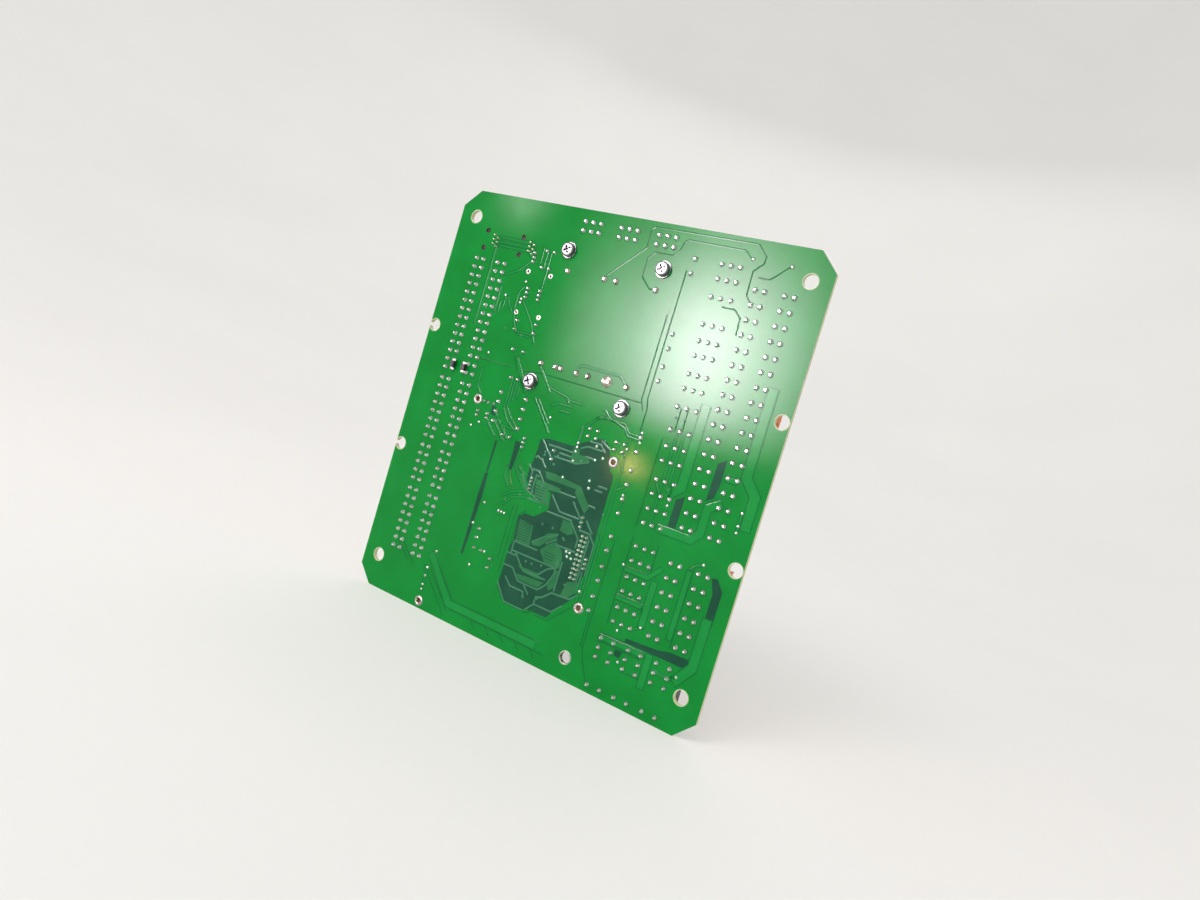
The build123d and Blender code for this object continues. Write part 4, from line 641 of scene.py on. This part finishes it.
def copper_pattern():
    """Gaps between copper areas, traces and bare areas on the solder face."""
    bare, gaps, traces, islands, combs, fine = (bmesh.new() for _ in range(6))
    for outline in BARE_AREAS:
        polygon(bare, [spot(*place, FLAT) for place in outline])
    for outline in ISLANDS:
        polygon(islands, [spot(*place, FLAT * 2) for place in outline])
    for route in GROOVES:
        raised_band(gaps, route, GROOVE_WIDTH, 0.0, GROOVE_HEIGHT, GROOVE_SLOPE)
    copper = [(route, TRACE_WIDTH, TRACE_GAP) for route in TRACES]
    copper += [(route, width, WIDE_TRACE_GAP) for route, width in WIDE_TRACES]
    for route, width, gap in copper:
        raised_band(gaps, route, width + gap, 0.0, FLAT * 1.5, GAP_SLOPE)
        raised_band(traces, route, width, FLAT, TRACE_HEIGHT, TRACE_SLOPE)
    for route in FINE_TRACES:
        raised_band(fine, route, FINE_WIDTH, FLAT, TRACE_HEIGHT, FINE_SLOPE)
    for left, right, down, count, pitch in COMBS:
        for index in range(count):
            row = down + index * pitch
            route = ((left, row), (right, row))
            raised_band(combs, route, COMB_WIDTH, FLAT, FLAT * 2.5, GAP_SLOPE)
    for name, mesh, look in (
        ("bare_laminate_areas", bare, "mask_over_laminate"),
        ("copper_gaps", gaps, "mask_in_groove"),
        ("copper_traces", traces, "mask_over_trace"),
        ("copper_islands", islands, "mask_over_island"),
        ("comb_gaps", combs, "mask_over_laminate"),
        ("fine_traces", fine, "mask_over_fine_trace"),
    ):
        add_piece(name, mesh, look, OFF_SOLDER_FACE)


# ---------------------------------------------------------------- solder and holes
FILLET_HEIGHT, FILLET_WOBBLE = 1.15, 0.25
# Share of the pad's radius, with a height in mm at the skirt and a share of the height above it.
FILLET_SKIRT = ((1.0, 0.02), (0.95, 0.22))
FILLET_CONE = ((0.82, 0.38), (0.64, 0.60), (0.50, 0.86), (0.36, 1.04), (0.14, 1.10))
VIA_DOME = ((0.82, 0.03), (0.78, 0.16), (0.60, 0.36), (0.34, 0.46), (0.12, 0.48))
VIA_GAP = ((1.15, 0.0), (1.05, 0.05), (0.7, 0.05))
TENTED_VIA = ((0.72, 0.03), (0.60, 0.14), (0.36, 0.16), (0.2, 0.10))
STANDOFF_RIM = ((3.0, 0.02), (2.9, 0.16), (2.6, 0.40), (2.1, 0.54), (1.6, 0.44), (1.3, 0.1))
STANDOFFS = ((50.0, 117.4), (146.4, 127.0), (151.7, 205.3), (49.9, 239.8))
PEG_HOLES = tuple((left, down) for left in (22.7, 49.0) for down in (22.05, 32.25))
# Left, down, inner and outer radius.
PLATED_HOLES = (
    (152.5, 232.3, 3.02, 3.7), (58.7, 40.2, 0.62, 1.5), (74.4, 40.2, 0.62, 1.5),
    (58.6, 64.0, 0.62, 1.5), (74.5, 64.0, 0.62, 1.5),
)
DRILLED_HOLES = tuple(
    (left, down, 3.76, 4.15) for left in (11.25, 219.75) for down in (15.5, 225.0)
) + tuple((left, down, 3.66, 4.0) for left in (3.5, 227.0) for down in (83.25, 157.25))


def solder_fillets():
    """Concave solder cone round each pin, with the pin's rounded tip standing out."""
    clean, old, gaps = bmesh.new(), bmesh.new(), bmesh.new()
    row_low, row_high = (Vector(corner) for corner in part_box("transformer_pins"))
    for low, high in loose_parts("solder_joints"):
        middle = (low + high) / 2
        centre = Vector((middle.x, SOLDER_FACE, middle.z))
        place = solder_seat(centre)
        pad = (high.x - low.x) / 2 / MM
        height = FILLET_HEIGHT + FILLET_WOBBLE * noise.noise(centre * 900.0)
        profile = [(pad * share, rise) for share, rise in FILLET_SKIRT]
        profile += [(pad * share, height * rise) for share, rise in FILLET_CONE]
        worn = row_low.x <= middle.x <= row_high.x and row_low.z <= middle.z <= row_high.z
        lathe(old if worn else clean, place, profile, 18)
        # Ring of groove green round each pad: a gap in the copper that also serves as painted
        # shadow round the joint.
        lathe(gaps, place, ((pad + 0.34, 0.0), (pad + 0.26, 0.04), (pad - 0.2, 0.04)), 20, False)
    fillets = add_piece("solder_fillets", clean, "solder", OFF_SOLDER_FACE, smooth=True)
    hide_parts("solder_joints")
    add_piece("transformer_fillets", old, "old_solder", OFF_SOLDER_FACE, smooth=True)
    add_piece("pad_gaps_and_painted_shade", gaps, "mask_in_groove", OFF_SOLDER_FACE)


def via_domes():
    bright, faint, gaps = bmesh.new(), bmesh.new(), bmesh.new()
    for via in VIAS:
        place = solder_seat(spot(*via))
        lathe(bright, place, VIA_DOME, 16)
        lathe(gaps, place, VIA_GAP, 18, False)
    for via in FAINT_VIAS:
        lathe(faint, solder_seat(spot(*via)), TENTED_VIA, 14)
    add_piece("filled_vias", bright, "solder", OFF_SOLDER_FACE, smooth=True)
    add_piece("tented_vias", faint, "mask_over_fine_trace", OFF_SOLDER_FACE)
    add_piece("via_gaps", gaps, "mask_in_groove", OFF_SOLDER_FACE)


def rim_profile(inner, outer, bevel, height):
    """Raised flat rim between two radii."""
    return (outer, 0.02), (outer - 0.1, height), (inner + bevel, height), (inner, 0.02)


def hole_rims():
    """Solder round the standoffs and plated holes, pale laminate round the drilled ones, and
    near-black painted shade on the plated hole walls and round the jack pegs.
    """
    plated, pale, dark = bmesh.new(), bmesh.new(), bmesh.new()
    for hole in STANDOFFS:
        lathe(plated, solder_seat(spot(*hole)), STANDOFF_RIM, 30, False)
    for left, down, inner, outer in PLATED_HOLES:
        place = solder_seat(spot(left, down))
        lathe(plated, place, rim_profile(inner, outer, 0.12, 0.09), 36, False)
        # Each plated hole gets a near-black sleeve of painted shade as its wall.
        wall = inner - 0.02
        lathe(dark, place, ((wall, 0.02), (wall, 0.05 - BOARD_THICKNESS)), 36, False)
    peg_end = (SOLDER_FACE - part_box("modular_jacks")[0][1]) / MM
    # The ring round each peg is near-black painted shade for the hole about it.
    peg = ((1.6, 0.02), (1.55, 0.06), (1.16, 0.06), (1.12, peg_end + 0.02), (0.9, peg_end + 0.06))
    for hole in PEG_HOLES:
        lathe(dark, solder_seat(spot(*hole)), peg, 24)
    for left, down, inner, outer in DRILLED_HOLES:
        profile = ((outer, 0.01), (outer - 0.06, 0.05), (inner, 0.05))
        lathe(pale, solder_seat(spot(left, down)), profile, 40, False)
    for edge, outward in ((BOARD_LOW, (-1, 0, 0)), (BOARD_HIGH, (1, 0, 0))):
        rims = pale.verts[:] + pale.edges[:] + pale.faces[:]
        bmesh.ops.bisect_plane(
            pale, geom=rims, plane_co=edge, plane_no=outward, clear_outer=True)
    add_piece("plated_rims", plated, "worn_tin", OFF_SOLDER_FACE, smooth=True)
    add_piece("drilled_rims", pale, "cut_laminate", OFF_SOLDER_FACE)
    add_piece("painted_hole_shade", dark, "hole_shade_paint", None)


# ---------------------------------------------------------------- terminals
SIGNAL_PITCH, POWER_PITCH = 5.08, 7.62
# First way and number of ways of each strip.
SIGNAL_STRIPS = ((39.0, 14), (111.6, 8), (153.3, 5), (180.1, 8))
POWER_STRIPS = {"upper": (24.8, 17), "lower": (165.3, 6)}
SIGNAL_LEFT, POWER_LEFT, MAINS_DOWN = 30.84, 204.29, 9.35
MAINS_LEFT = (92.2, 115.5, 138.9)
MAINS_TOP = 16.0
# Wire holes and clamp cages of every terminal.
WIRE_RADIUS, CAGE_RADIUS, WELL_RADIUS = 1.92, 1.86, 1.87


def steps(count, pitch):
    return [(index - (count - 1) / 2) * pitch for index in range(count)]


def wire_port(collars, cages, place, x, y, z, out, half):
    """Funnel collar round a wire entry and the clamp cage in it; out is the side it faces."""
    def ring(outline, depth):
        return [place(x + out * depth, y + a, z + b) for a, b in outline]

    skin(collars, [
        ring(square(half), -0.05), ring(square(half), 0.25), ring(square(half - 0.15), 0.35),
        ring(circle(half - 0.25), 0.35), ring(circle(WIRE_RADIUS), -0.05),
    ], True)
    skin(cages, [
        ring(circle(CAGE_RADIUS), -1.6), ring(square(1.25), -1.5), ring(square(1.15), -1.6),
        ring(square(1.15), -3.2), ring(circle(CAGE_RADIUS), -3.2),
    ], True)


def well_ring(collars, place, x, y, z):
    """Raised lip round a screw well."""
    profile = ((2.3, -0.05), (2.25, 0.18), (2.05, 0.25), (WELL_RADIUS, 0.18), (WELL_RADIUS, -0.05))
    skin(collars, [
        [place(x + a, y + b, z + lift) for a, b in circle(radius)] for radius, lift in profile
    ], True)


def two_level_details(place, depth, low, levels, count, pitch):
    """Collars, cages, well lips and the ribs between ways of a stepped terminal strip."""
    collars, cages = bmesh.new(), bmesh.new()
    step, top = levels
    half = min(pitch * 0.42, 2.5)
    for y in steps(count, pitch):
        for x, level in ((-depth / 2, step), (0.0, top)):
            wire_port(collars, cages, place, x, y, level - 5.0, -1, half)
            well_ring(collars, place, x + depth / 4, y, level)
    for y in steps(count + 1, pitch):
        for x, bottom, level in ((-depth / 2, low, step), (0.0, step, top)):
            near, far, lip = (x - 0.3, y - 0.2, bottom + 0.3), y + 0.2, level + 0.2
            block(collars, place, near, (x + 0.05, far, lip))
            block(collars, place, (x - 0.3, y - 0.2, level - 0.05), (x + depth / 2 - 0.3, far, lip))
    return collars, cages


def add_terminal(ribs_name, cages_name, meshes, body="board"):
    looks = ("orange_plastic", "tinned_metal")
    for name, mesh, look in zip((ribs_name, cages_name), meshes, looks):
        add_piece(name, mesh, look, CLOSED, body)


def terminal_details():
    for index, (first, count) in enumerate(SIGNAL_STRIPS, 1):
        place = seat(SIGNAL_LEFT, first + (count - 1) * SIGNAL_PITCH / 2)
        meshes = two_level_details(place, 27.6, 10.1, (18.0, 27.0), count, SIGNAL_PITCH)
        add_terminal(f"plug_ribs_{index}", f"plug_cages_{index}", meshes, f"signal_plug_{index}")
    for name, (first, count) in POWER_STRIPS.items():
        place = seat(POWER_LEFT, first + (count - 1) * POWER_PITCH / 2, "left")
        meshes = two_level_details(place, 30.0, 0.0, (18.0, 29.0), count, POWER_PITCH)
        add_terminal(f"power_ribs_{name}", f"power_cages_{name}", meshes)
    collars, cages = bmesh.new(), bmesh.new()
    for left in MAINS_LEFT:
        place = seat(left, MAINS_DOWN, "up")
        for y in steps(3, SIGNAL_PITCH):
            wire_port(collars, cages, place, 6.2, y, 11.0, 1, 2.13)
            well_ring(collars, place, 0, y, MAINS_TOP)
        for y in steps(4, SIGNAL_PITCH):
            corner = (6.5, y + 0.2, MAINS_TOP + 0.2)
            block(collars, place, (6.15, y - 0.2, 0.3), corner)
            block(collars, place, (-6.2, y - 0.2, MAINS_TOP - 0.05), corner)
    add_terminal("mains_ribs", "mains_cages", (collars, cages))


# ---------------------------------------------------------------- other parts
LEGEND_WIDTH = 0.25
LEGEND_MARGIN = 0.7
LEGEND_RIGHT, LEGEND_BOTTOM = 230.4, 243.4
NARROWEST_OUTLINED = 1.5
# Nodes whose every solid has an outline, and nodes with one outline round them all.
OUTLINED = (
    "chip_packages", "relay_covers", "header_strips", "crystal", "button_bodies",
    "modular_jacks", "voltage_regulator",
)
SINGLE_OUTLINES = (
    "choke_core", "mains_terminals", "power_terminal_upper", "power_terminal_lower",
    "transformer_core", "processor",
)
# Shorter solids of the relay covers' node are their plinths.
SHORTEST_COVER = 10
BUTTON_SIDE = 5.0
THICKEST_LEG = 1.6
JACKS = ((26.2, 27.15), (52.5, 27.15))
WIRE_PATH = ((3.7, 15.4), (3.4, 13.6), (0.6, 8.4), (0.1, 7.8), (0.5, 7.2))
WIRE_SECTION = ((-0.18, -0.2), (0.18, -0.2), (0.18, 0.2), (-0.18, 0.2))
TRANSFORMER = (112.0, 61.5)
# Route, number of traces side by side and their pitch.
TOP_BUSES = (
    (((46.5, 142), (50, 142), (55.6, 147.6), (55.6, 212), (49, 218.6)), 4, -1.3),
    (((67, 146), (78, 146), (90, 158), (104, 158)), 6, 1.3),
    (((66.5, 200), (70, 196.5), (70, 166), (76, 160), (84, 160), (92, 168)), 1, 1.3),
    (((131.5, 180), (135, 180), (139.6, 175.4), (139.6, 166)), 5, 1.3),
    (((111, 199), (111, 204.5), (109, 206.5)), 3, -1.4),
    (((124, 199), (124, 203), (126.5, 205.5)), 3, -1.4),
    (((82, 215), (88, 221), (112, 221), (118, 227), (146, 227)), 6, -1.4),
    (((97.6, 175), (104, 175), (108.6, 179.6)), 4, -1.3),
    (((97.6, 189.6), (103, 189.6), (108.6, 184)), 4, 1.3),
    (((128, 118), (128, 128), (133, 133), (133, 150), (129, 154)), 3, 1.4),
    (((46.5, 60), (50, 60), (54.4, 64.4), (54.4, 96), (47, 103.4)), 3, 1.4),
    (((86, 104), (98, 104), (104, 110), (122, 110), (127, 115)), 4, 1.4),
    (((96, 128), (96, 142), (104, 150), (106, 150)), 4, -1.4),
    (((64, 14), (64, 19), (68, 23)), 2, 1.6),
    (((153, 112), (153, 168), (150, 171), (150, 178)), 2, -1.6),
)
TOP_TRACE_WIDTH = 0.65
TOP_GAP_WIDTH = 1.05


def legend():
    """White outlines round the parts, with a corner mark or a plus sign and no lettering."""
    ink = bmesh.new()
    for node in OUTLINED + SINGLE_OUTLINES:
        if node in OUTLINED + ("mains_terminals",):
            boxes = parts_on_board(node)
        else:
            boxes = [on_board(*(Vector(corner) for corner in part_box(node)))]
        for left, right, top, bottom, _ in boxes:
            if right - left < NARROWEST_OUTLINED:
                continue
            left, top = left - LEGEND_MARGIN, top - LEGEND_MARGIN
            right = min(right + LEGEND_MARGIN, LEGEND_RIGHT)
            bottom = min(bottom + LEGEND_MARGIN, LEGEND_BOTTOM)
            corners = ((left, top), (right, top), (right, bottom), (left, bottom))
            flat_band(ink, [seat(*corner)(0, 0, FLAT) for corner in corners], LEGEND_WIDTH, True)
            lathe(ink, seat(left - 0.9, top + 0.9), ((0.38, FLAT), (0.05, FLAT)), 12, False)
    for left, right, top, bottom, _ in parts_on_board("capacitor_cans"):
        x, y, radius = (left + right) / 2, (top + bottom) / 2, (right - left) / 2 + 0.5
        loop = [seat(x + a, y + b)(0, 0, FLAT) for a, b in circle(radius, 40)]
        flat_band(ink, loop, LEGEND_WIDTH, True)
        place = seat(x - radius - 1.2, y - radius * 0.5)
        for wide, high, lift in ((0.8, 0.12, FLAT + 0.004), (0.12, 0.8, FLAT)):
            corners = ((-wide, -high), (wide, -high), (wide, high), (-wide, high))
            polygon(ink, [place(a, b, lift) for a, b in corners])
    add_piece("legend_lines", ink, "legend_ink", OFF_COMPONENT_FACE)


def can_details():
    """Aluminium tops with a vent cross, rolled sleeve edges and the pale polarity stripe."""
    tops, vents, stripes = bmesh.new(), bmesh.new(), bmesh.new()
    for left, right, top, bottom, height in parts_on_board("capacitor_cans"):
        radius = (right - left) / 2
        place = seat((left + right) / 2, (top + bottom) / 2)
        lathe(tops, place, (
            (radius - 0.35, height + 0.01), (radius - 0.55, height + 0.12), (0.05, height + 0.12),
        ), 36)
        arm = radius * 0.62
        for turn, lift in ((0.5, 0.14), (0.5 + math.pi / 2, 0.15)):
            ax, ay = math.cos(turn), math.sin(turn)
            polygon(vents, [
                place(along * ax - side * ay, along * ay + side * ax, height + lift)
                for along, side in ((-arm, -0.13), (arm, -0.13), (arm, 0.13), (-arm, 0.13))
            ])
        count = 8
        angles = [math.pi + (index / count - 0.5) * 0.9 for index in range(count + 1)]
        out = radius + 0.03
        low, high = (
            [stripes.verts.new(place(out * math.cos(a), out * math.sin(a), z)) for a in angles]
            for z in (1.4, height - 0.7)
        )
        for index in range(count):
            stripes.faces.new((low[index], low[index + 1], high[index + 1], high[index]))
    add_piece("can_tops", tops, "can_top", OFF_COMPONENT_FACE)
    add_piece("can_vents", vents, "ferrite", OFF_COMPONENT_FACE)
    add_piece("can_stripes", stripes, "can_stripe", CLOSED)


def chip_details():
    """First-pin dimples on chips, sealing nibs and rails on relay covers, rivets on buttons."""
    dimples, rails, rivets = bmesh.new(), bmesh.new(), bmesh.new()
    for node, inset, radius in (("chip_packages", 1.1, 0.42), ("processor", 1.9, 0.75)):
        for left, _, top, _, height in parts_on_board(node):
            lathe(dimples, seat(left + inset, top + inset), (
                (radius + 0.12, height), (radius, height + 0.03), (radius - 0.1, height),
                (0.05, height + 0.004),
            ), 20)
    for left, right, top, bottom, height in parts_on_board("relay_covers"):
        if height < SHORTEST_COVER:
            continue
        place = seat((left + right) / 2, (top + bottom) / 2)
        half_x, half_y = (right - left) / 2 - 1.1, (bottom - top) / 2 - 1.1
        skin(rails, [[
            place(x * (half_x - inset), y * (half_y - inset), height + lift)
            for x, y in ((-1, -1), (1, -1), (1, 1), (-1, 1))
        ] for inset, lift in ((0.0, -0.02), (0.05, 0.16), (0.45, 0.16), (0.5, -0.02))], True)
        lathe(rails, seat(left + 2.6, top + 2.6), (
            (0.95, height - 0.02), (0.9, height + 0.3), (0.7, height + 0.42), (0.1, height + 0.42),
        ), 20)
    for left, right, top, bottom, height in parts_on_board("button_bodies"):
        if right - left < BUTTON_SIDE:
            continue
        rivet = ((0.42, height - 0.02), (0.36, height + 0.12), (0.1, height + 0.16))
        for x in (left + 0.75, right - 0.75):
            for y in (top + 0.75, bottom - 0.75):
                lathe(rivets, seat(x, y), rivet, 14)
    add_piece("chip_dimples", dimples, "ferrite", OFF_COMPONENT_FACE)
    add_piece("relay_rails", rails, "relay_cover", CLOSED)
    add_piece("button_rivets", rivets, "button_plastic", OFF_COMPONENT_FACE)


def top_pads():
    """Solder on the component face: rings round standing legs and pads under chip leads."""
    rings, pads, vias = bmesh.new(), bmesh.new(), bmesh.new()
    fillet = ((1.25, 0.01), (1.15, 0.07), (0.75, 0.20), (0.5, 0.34))
    legs = parts_on_board("component_legs", "transistor_leads", "jack_contacts")
    for left, right, top, bottom, _ in legs:
        if right - left < THICKEST_LEG:
            lathe(rings, seat((left + right) / 2, (top + bottom) / 2), fillet, 18, False)
    for left, right, top, bottom, _ in parts_on_board("chip_leads"):
        wide = right - left > bottom - top
        grow_x, grow_y = (0.3, 0.06) if wide else (0.06, 0.3)
        left, right, top, bottom = left - grow_x, right + grow_x, top - grow_y, bottom + grow_y
        corners = ((left, top), (right, top), (right, bottom), (left, bottom))
        polygon(pads, [seat(*corner)(0, 0, 0.04) for corner in corners])
    for left, down in VIAS + FAINT_VIAS:
        if 84 < left < 155 and down > 108:
            place = seat(left, down)
            lathe(vias, place, ((0.8, 0.02), (0.7, 0.12), (0.35, 0.14), (0.2, 0.06)), 14, False)
    for left, down, inner, outer in PLATED_HOLES:
        lathe(rings, seat(left, down), rim_profile(inner, outer, 0.1, 0.08), 36, False)
    add_piece("top_rings", rings, "solder", OFF_COMPONENT_FACE, smooth=True)
    add_piece("chip_pads", pads, "solder", OFF_COMPONENT_FACE)
    add_piece("top_vias", vias, "mask_over_fine_trace", OFF_COMPONENT_FACE)


def jack_wires():
    """Six sprung gold wires slanting across each port."""
    wires = bmesh.new()
    for jack in JACKS:
        place = seat(*jack)
        for y in steps(6, 1.27):
            rows = skin(wires, [
                [place(x + a, y + b, z) for a, b in WIRE_SECTION] for x, z in WIRE_PATH
            ])
            wires.faces.new(rows[0])
            wires.faces.new(rows[-1])
    add_piece("jack_wires", wires, "plated_brass", CLOSED)


def winding_details():
    """Loose ends of the winding tape, and the joint lines between the core's sheets."""
    ends, joints = bmesh.new(), bmesh.new()
    place = seat(*TRANSFORMER)
    for low_x, high_x in ((-19.8, -1.5), (1.5, 19.8)):
        for low_y, high_y, lift in ((-15.0, 9.0, 60.5), (-4.0, 21.5, 60.62)):
            block(ends, place, (low_x, low_y, lift - 0.05), (high_x, high_y, lift + 0.1))
    for y in (-30.2, 30.2):
        for low_x, high_x in ((-37.45, -23.2), (23.2, 37.45)):
            block(joints, place, (low_x, y - 0.08, 47.97), (high_x, y + 0.08, 48.03))
    add_piece("tape_ends", ends, "winding_tape", CLOSED)
    add_piece("core_joints", joints, "ferrite", CLOSED)


def top_copper():
    """Groups of parallel traces on the component face, between the parts."""
    gaps, traces = bmesh.new(), bmesh.new()
    for route, count, pitch in TOP_BUSES:
        for index in range(count):
            for mesh, width, height in (
                (gaps, TOP_GAP_WIDTH, 0.01), (traces, TOP_TRACE_WIDTH, 0.04),
            ):
                points = [seat(*stop)(0, 0, height) for stop in route]
                if index:
                    points = offsets(points, index * pitch * MM)[0]
                flat_band(mesh, points, width)
    add_piece("top_gaps", gaps, "mask_in_groove", OFF_COMPONENT_FACE)
    add_piece("top_traces", traces, "mask_over_trace", OFF_COMPONENT_FACE)


copper_pattern()
solder_fillets()
via_domes()
hole_rims()
terminal_details()
legend()
can_details()
chip_details()
top_pads()
jack_wires()
winding_details()
top_copper()


# ---------------------------------------------------------------- camera, lights and backdrop
EYE = Vector((0.2475, -0.4031, 0.0222))
VIEW_FORWARD, VIEW_RIGHT = Vector((-0.490, 0.870, -0.053)), Vector((0.827, 0.483, 0.289))
LENS, SENSOR = 26.4, 36.0
# Light off the floor and walls of the room, in all that the panels reflect.
ROOM_LEVEL = 0.75
PANEL_Y = -0.85
# Brightness profiles of the panels: position and level.
WINDOW_ACROSS = (
    (0.0, 0.0), (0.12, 0.11), (0.25, 0.25), (0.37, 0.36), (0.48, 0.72), (0.58, 1.0),
    (0.70, 0.97), (0.80, 0.64), (0.92, 0.32), (1.0, 0.18),
)
WINDOW_DOWN = (
    (0.0, 0.05), (0.17, 0.24), (0.30, 0.46), (0.44, 0.80), (0.57, 1.0), (0.72, 0.88),
    (0.82, 0.66), (0.90, 0.26), (0.97, 0.0),
)
SOFT_SPOT = ((0.0, 0.0), (0.3, 0.35), (0.5, 1.0), (0.7, 0.35), (1.0, 0.0))
BACKDROP_REACH, BACKDROP_WALL = 3.8, 3.4
BACKDROP_RINGS, BACKDROP_SEGMENTS = 40, 96
PAPER, PAPER_DARK, PAPER_LIGHT = (0.47, 0.465, 0.455), (0.46, 0.455, 0.445), (0.48, 0.475, 0.465)
PAPER_GLOW, PAPER_GLOW_STRENGTH = (1.0, 0.985, 0.955, 1.0), 0.375


def add_camera():
    """Eye to the right of the board and a little above its middle, with the frame rolled."""
    data = bpy.data.cameras.new("camera")
    data.lens, data.sensor_width = LENS, SENSOR
    data.shift_x, data.shift_y = 0.0007, -0.0010
    data.clip_start, data.clip_end = 0.01, 50.0
    forward = VIEW_FORWARD.normalized()
    right = (VIEW_RIGHT - forward * VIEW_RIGHT.dot(forward)).normalized()
    axes = Matrix((right, right.cross(forward), -forward)).transposed()
    camera = link("camera", data)
    camera.matrix_world = Matrix.Translation(EYE) @ axes.to_4x4()
    bpy.context.scene.camera = camera


def area_light(name, place, target, size, power, colour):
    """Square soft light aimed at a point."""
    data = bpy.data.lights.new(name, "AREA")
    data.shape = "RECTANGLE"
    data.size, data.size_y = size, size
    data.energy = power
    data.color = colour
    light = link(name, data)
    light.location = place
    light.rotation_euler = (Vector(target) - light.location).to_track_quat("-Z", "Y").to_euler()


def world_light():
    world = bpy.data.worlds.new("studio")
    bpy.context.scene.world = world
    world.use_nodes = True
    background = world.node_tree.nodes["Background"]
    background.inputs["Color"].default_value = (0.94, 0.93, 0.91, 1.0)
    background.inputs["Strength"].default_value = 0.52


def seamless_backdrop():
    """Pale floor that rises ever more steeply into a far wall on every side."""
    floor = CAD_BOX[0][2] - 0.0002
    mesh = bmesh.new()
    rings = []
    for step in range(1, BACKDROP_RINGS + 1):
        share = step / BACKDROP_RINGS
        height = floor + BACKDROP_WALL * share ** 3
        outline = circle(BACKDROP_REACH * share, BACKDROP_SEGMENTS)
        rings.append([(x, y, height) for x, y in outline])
    inner = skin(mesh, rings)[0]
    middle = mesh.verts.new((0, 0, floor))
    for index, here in enumerate(inner):
        mesh.faces.new((middle, here, inner[(index + 1) % len(inner)]))
    paper = new_material("backdrop_paper", PAPER, 0.95)
    vary_colour(paper, PAPER_DARK, PAPER_LIGHT, 3.0)
    set_input(paper, shader_of(paper), "Emission Color", PAPER_GLOW)
    set_input(paper, shader_of(paper), "Emission Strength", PAPER_GLOW_STRENGTH)
    mesh_object("backdrop", mesh, paper, True)


def glow_material(name, half_x, half_z, strength, colour, across, down):
    """Light whose strength follows one soft profile across a panel and one down it."""
    glow = bpy.data.materials.new(name)
    glow.use_nodes = True
    glow.node_tree.nodes.clear()
    place = add_node(glow, "TexCoord").outputs["Object"]
    split = add_node(glow, "SeparateXYZ", {"Vector": place})
    levels = {}
    for slot, (axis, half, profile) in enumerate((("X", half_x, across), ("Z", -half_z, down))):
        share = add_node(glow, "MapRange", {
            "Value": split.outputs[axis], "From Min": -half, "From Max": half,
        })
        ramp = add_node(glow, "ValToRGB", {"Fac": share.outputs["Result"]})
        ramp.color_ramp.interpolation = "B_SPLINE"
        while len(ramp.color_ramp.elements) < len(profile):
            ramp.color_ramp.elements.new(1.0)
        for stop, (position, level) in zip(ramp.color_ramp.elements, profile):
            stop.position = position
            stop.color = (level, level, level, 1.0)
        levels[slot] = ramp.outputs["Color"]
    product = add_node(glow, "Math", levels, operation="MULTIPLY")
    power = add_node(glow, "Math", {
        0: product.outputs[0], 1: strength, 2: ROOM_LEVEL,
    }, operation="MULTIPLY_ADD")
    emission = add_node(glow, "Emission", {"Color": (*colour, 1.0), "Strength": power.outputs[0]})
    add_node(glow, "OutputMaterial", {"Surface": emission.outputs["Emission"]})
    return glow


def mirror_spot(left, down):
    """Place on the panel plane that the board reflects to the eye at a point of its face."""
    face = spot(left, down)
    image = Vector((EYE.x, 2 * SOLDER_FACE - EYE.y, EYE.z))
    run = (PANEL_Y - image.y) / (face.y - image.y)
    return image + (face - image) * run


def reflected_panel(name, left_top, right_bottom, strength, colour, across, down):
    """Window-like panel, seen only by reflections, that shows between two board places."""
    first, second = mirror_spot(*left_top), mirror_spot(*right_bottom)
    half_x, half_z = abs(second.x - first.x) / 2, abs(second.z - first.z) / 2
    mesh = bmesh.new()
    corners = ((-half_x, -half_z), (half_x, -half_z), (half_x, half_z), (-half_x, half_z))
    polygon(mesh, [(x, 0, z) for x, z in corners])
    glow = glow_material(name, half_x, half_z, strength, colour, across, down)
    panel = mesh_object(name, mesh, glow)
    panel.location = (first + second) / 2
    panel.visible_camera = False
    panel.visible_diffuse = False


bpy.context.scene.view_settings.view_transform = "Standard"
add_camera()
world_light()
seamless_backdrop()
for panel in (
    ("window_glow", (84, -20), (235, 112), 84.0, (1.0, 0.84, 0.97), WINDOW_ACROSS, WINDOW_DOWN),
    ("far_window_glow", (18, -22), (66, 24), 26.0, (1.0, 0.99, 0.97), SOFT_SPOT, SOFT_SPOT),
    ("warm_lamp", (147.4, 118), (166.6, 138), 232.0, (1.0, 0.56, 0.24), SOFT_SPOT, SOFT_SPOT),
):
    reflected_panel(*panel)
for light in (
    ("key", (-0.7, -2.6, 2.3), (0, 0, 0), 1.2, 28.0, (1.0, 0.99, 0.97)),
    ("fill", (-0.6, 1.7, 2.0), (0, 0, 0), 1.8, 12.0, (1.0, 0.98, 0.95)),
    ("near", (0.05, -0.85, 0.85), (-0.05, -0.15, -0.12), 0.7, 4.0, (1.0, 0.99, 0.98)),
):
    area_light(*light)
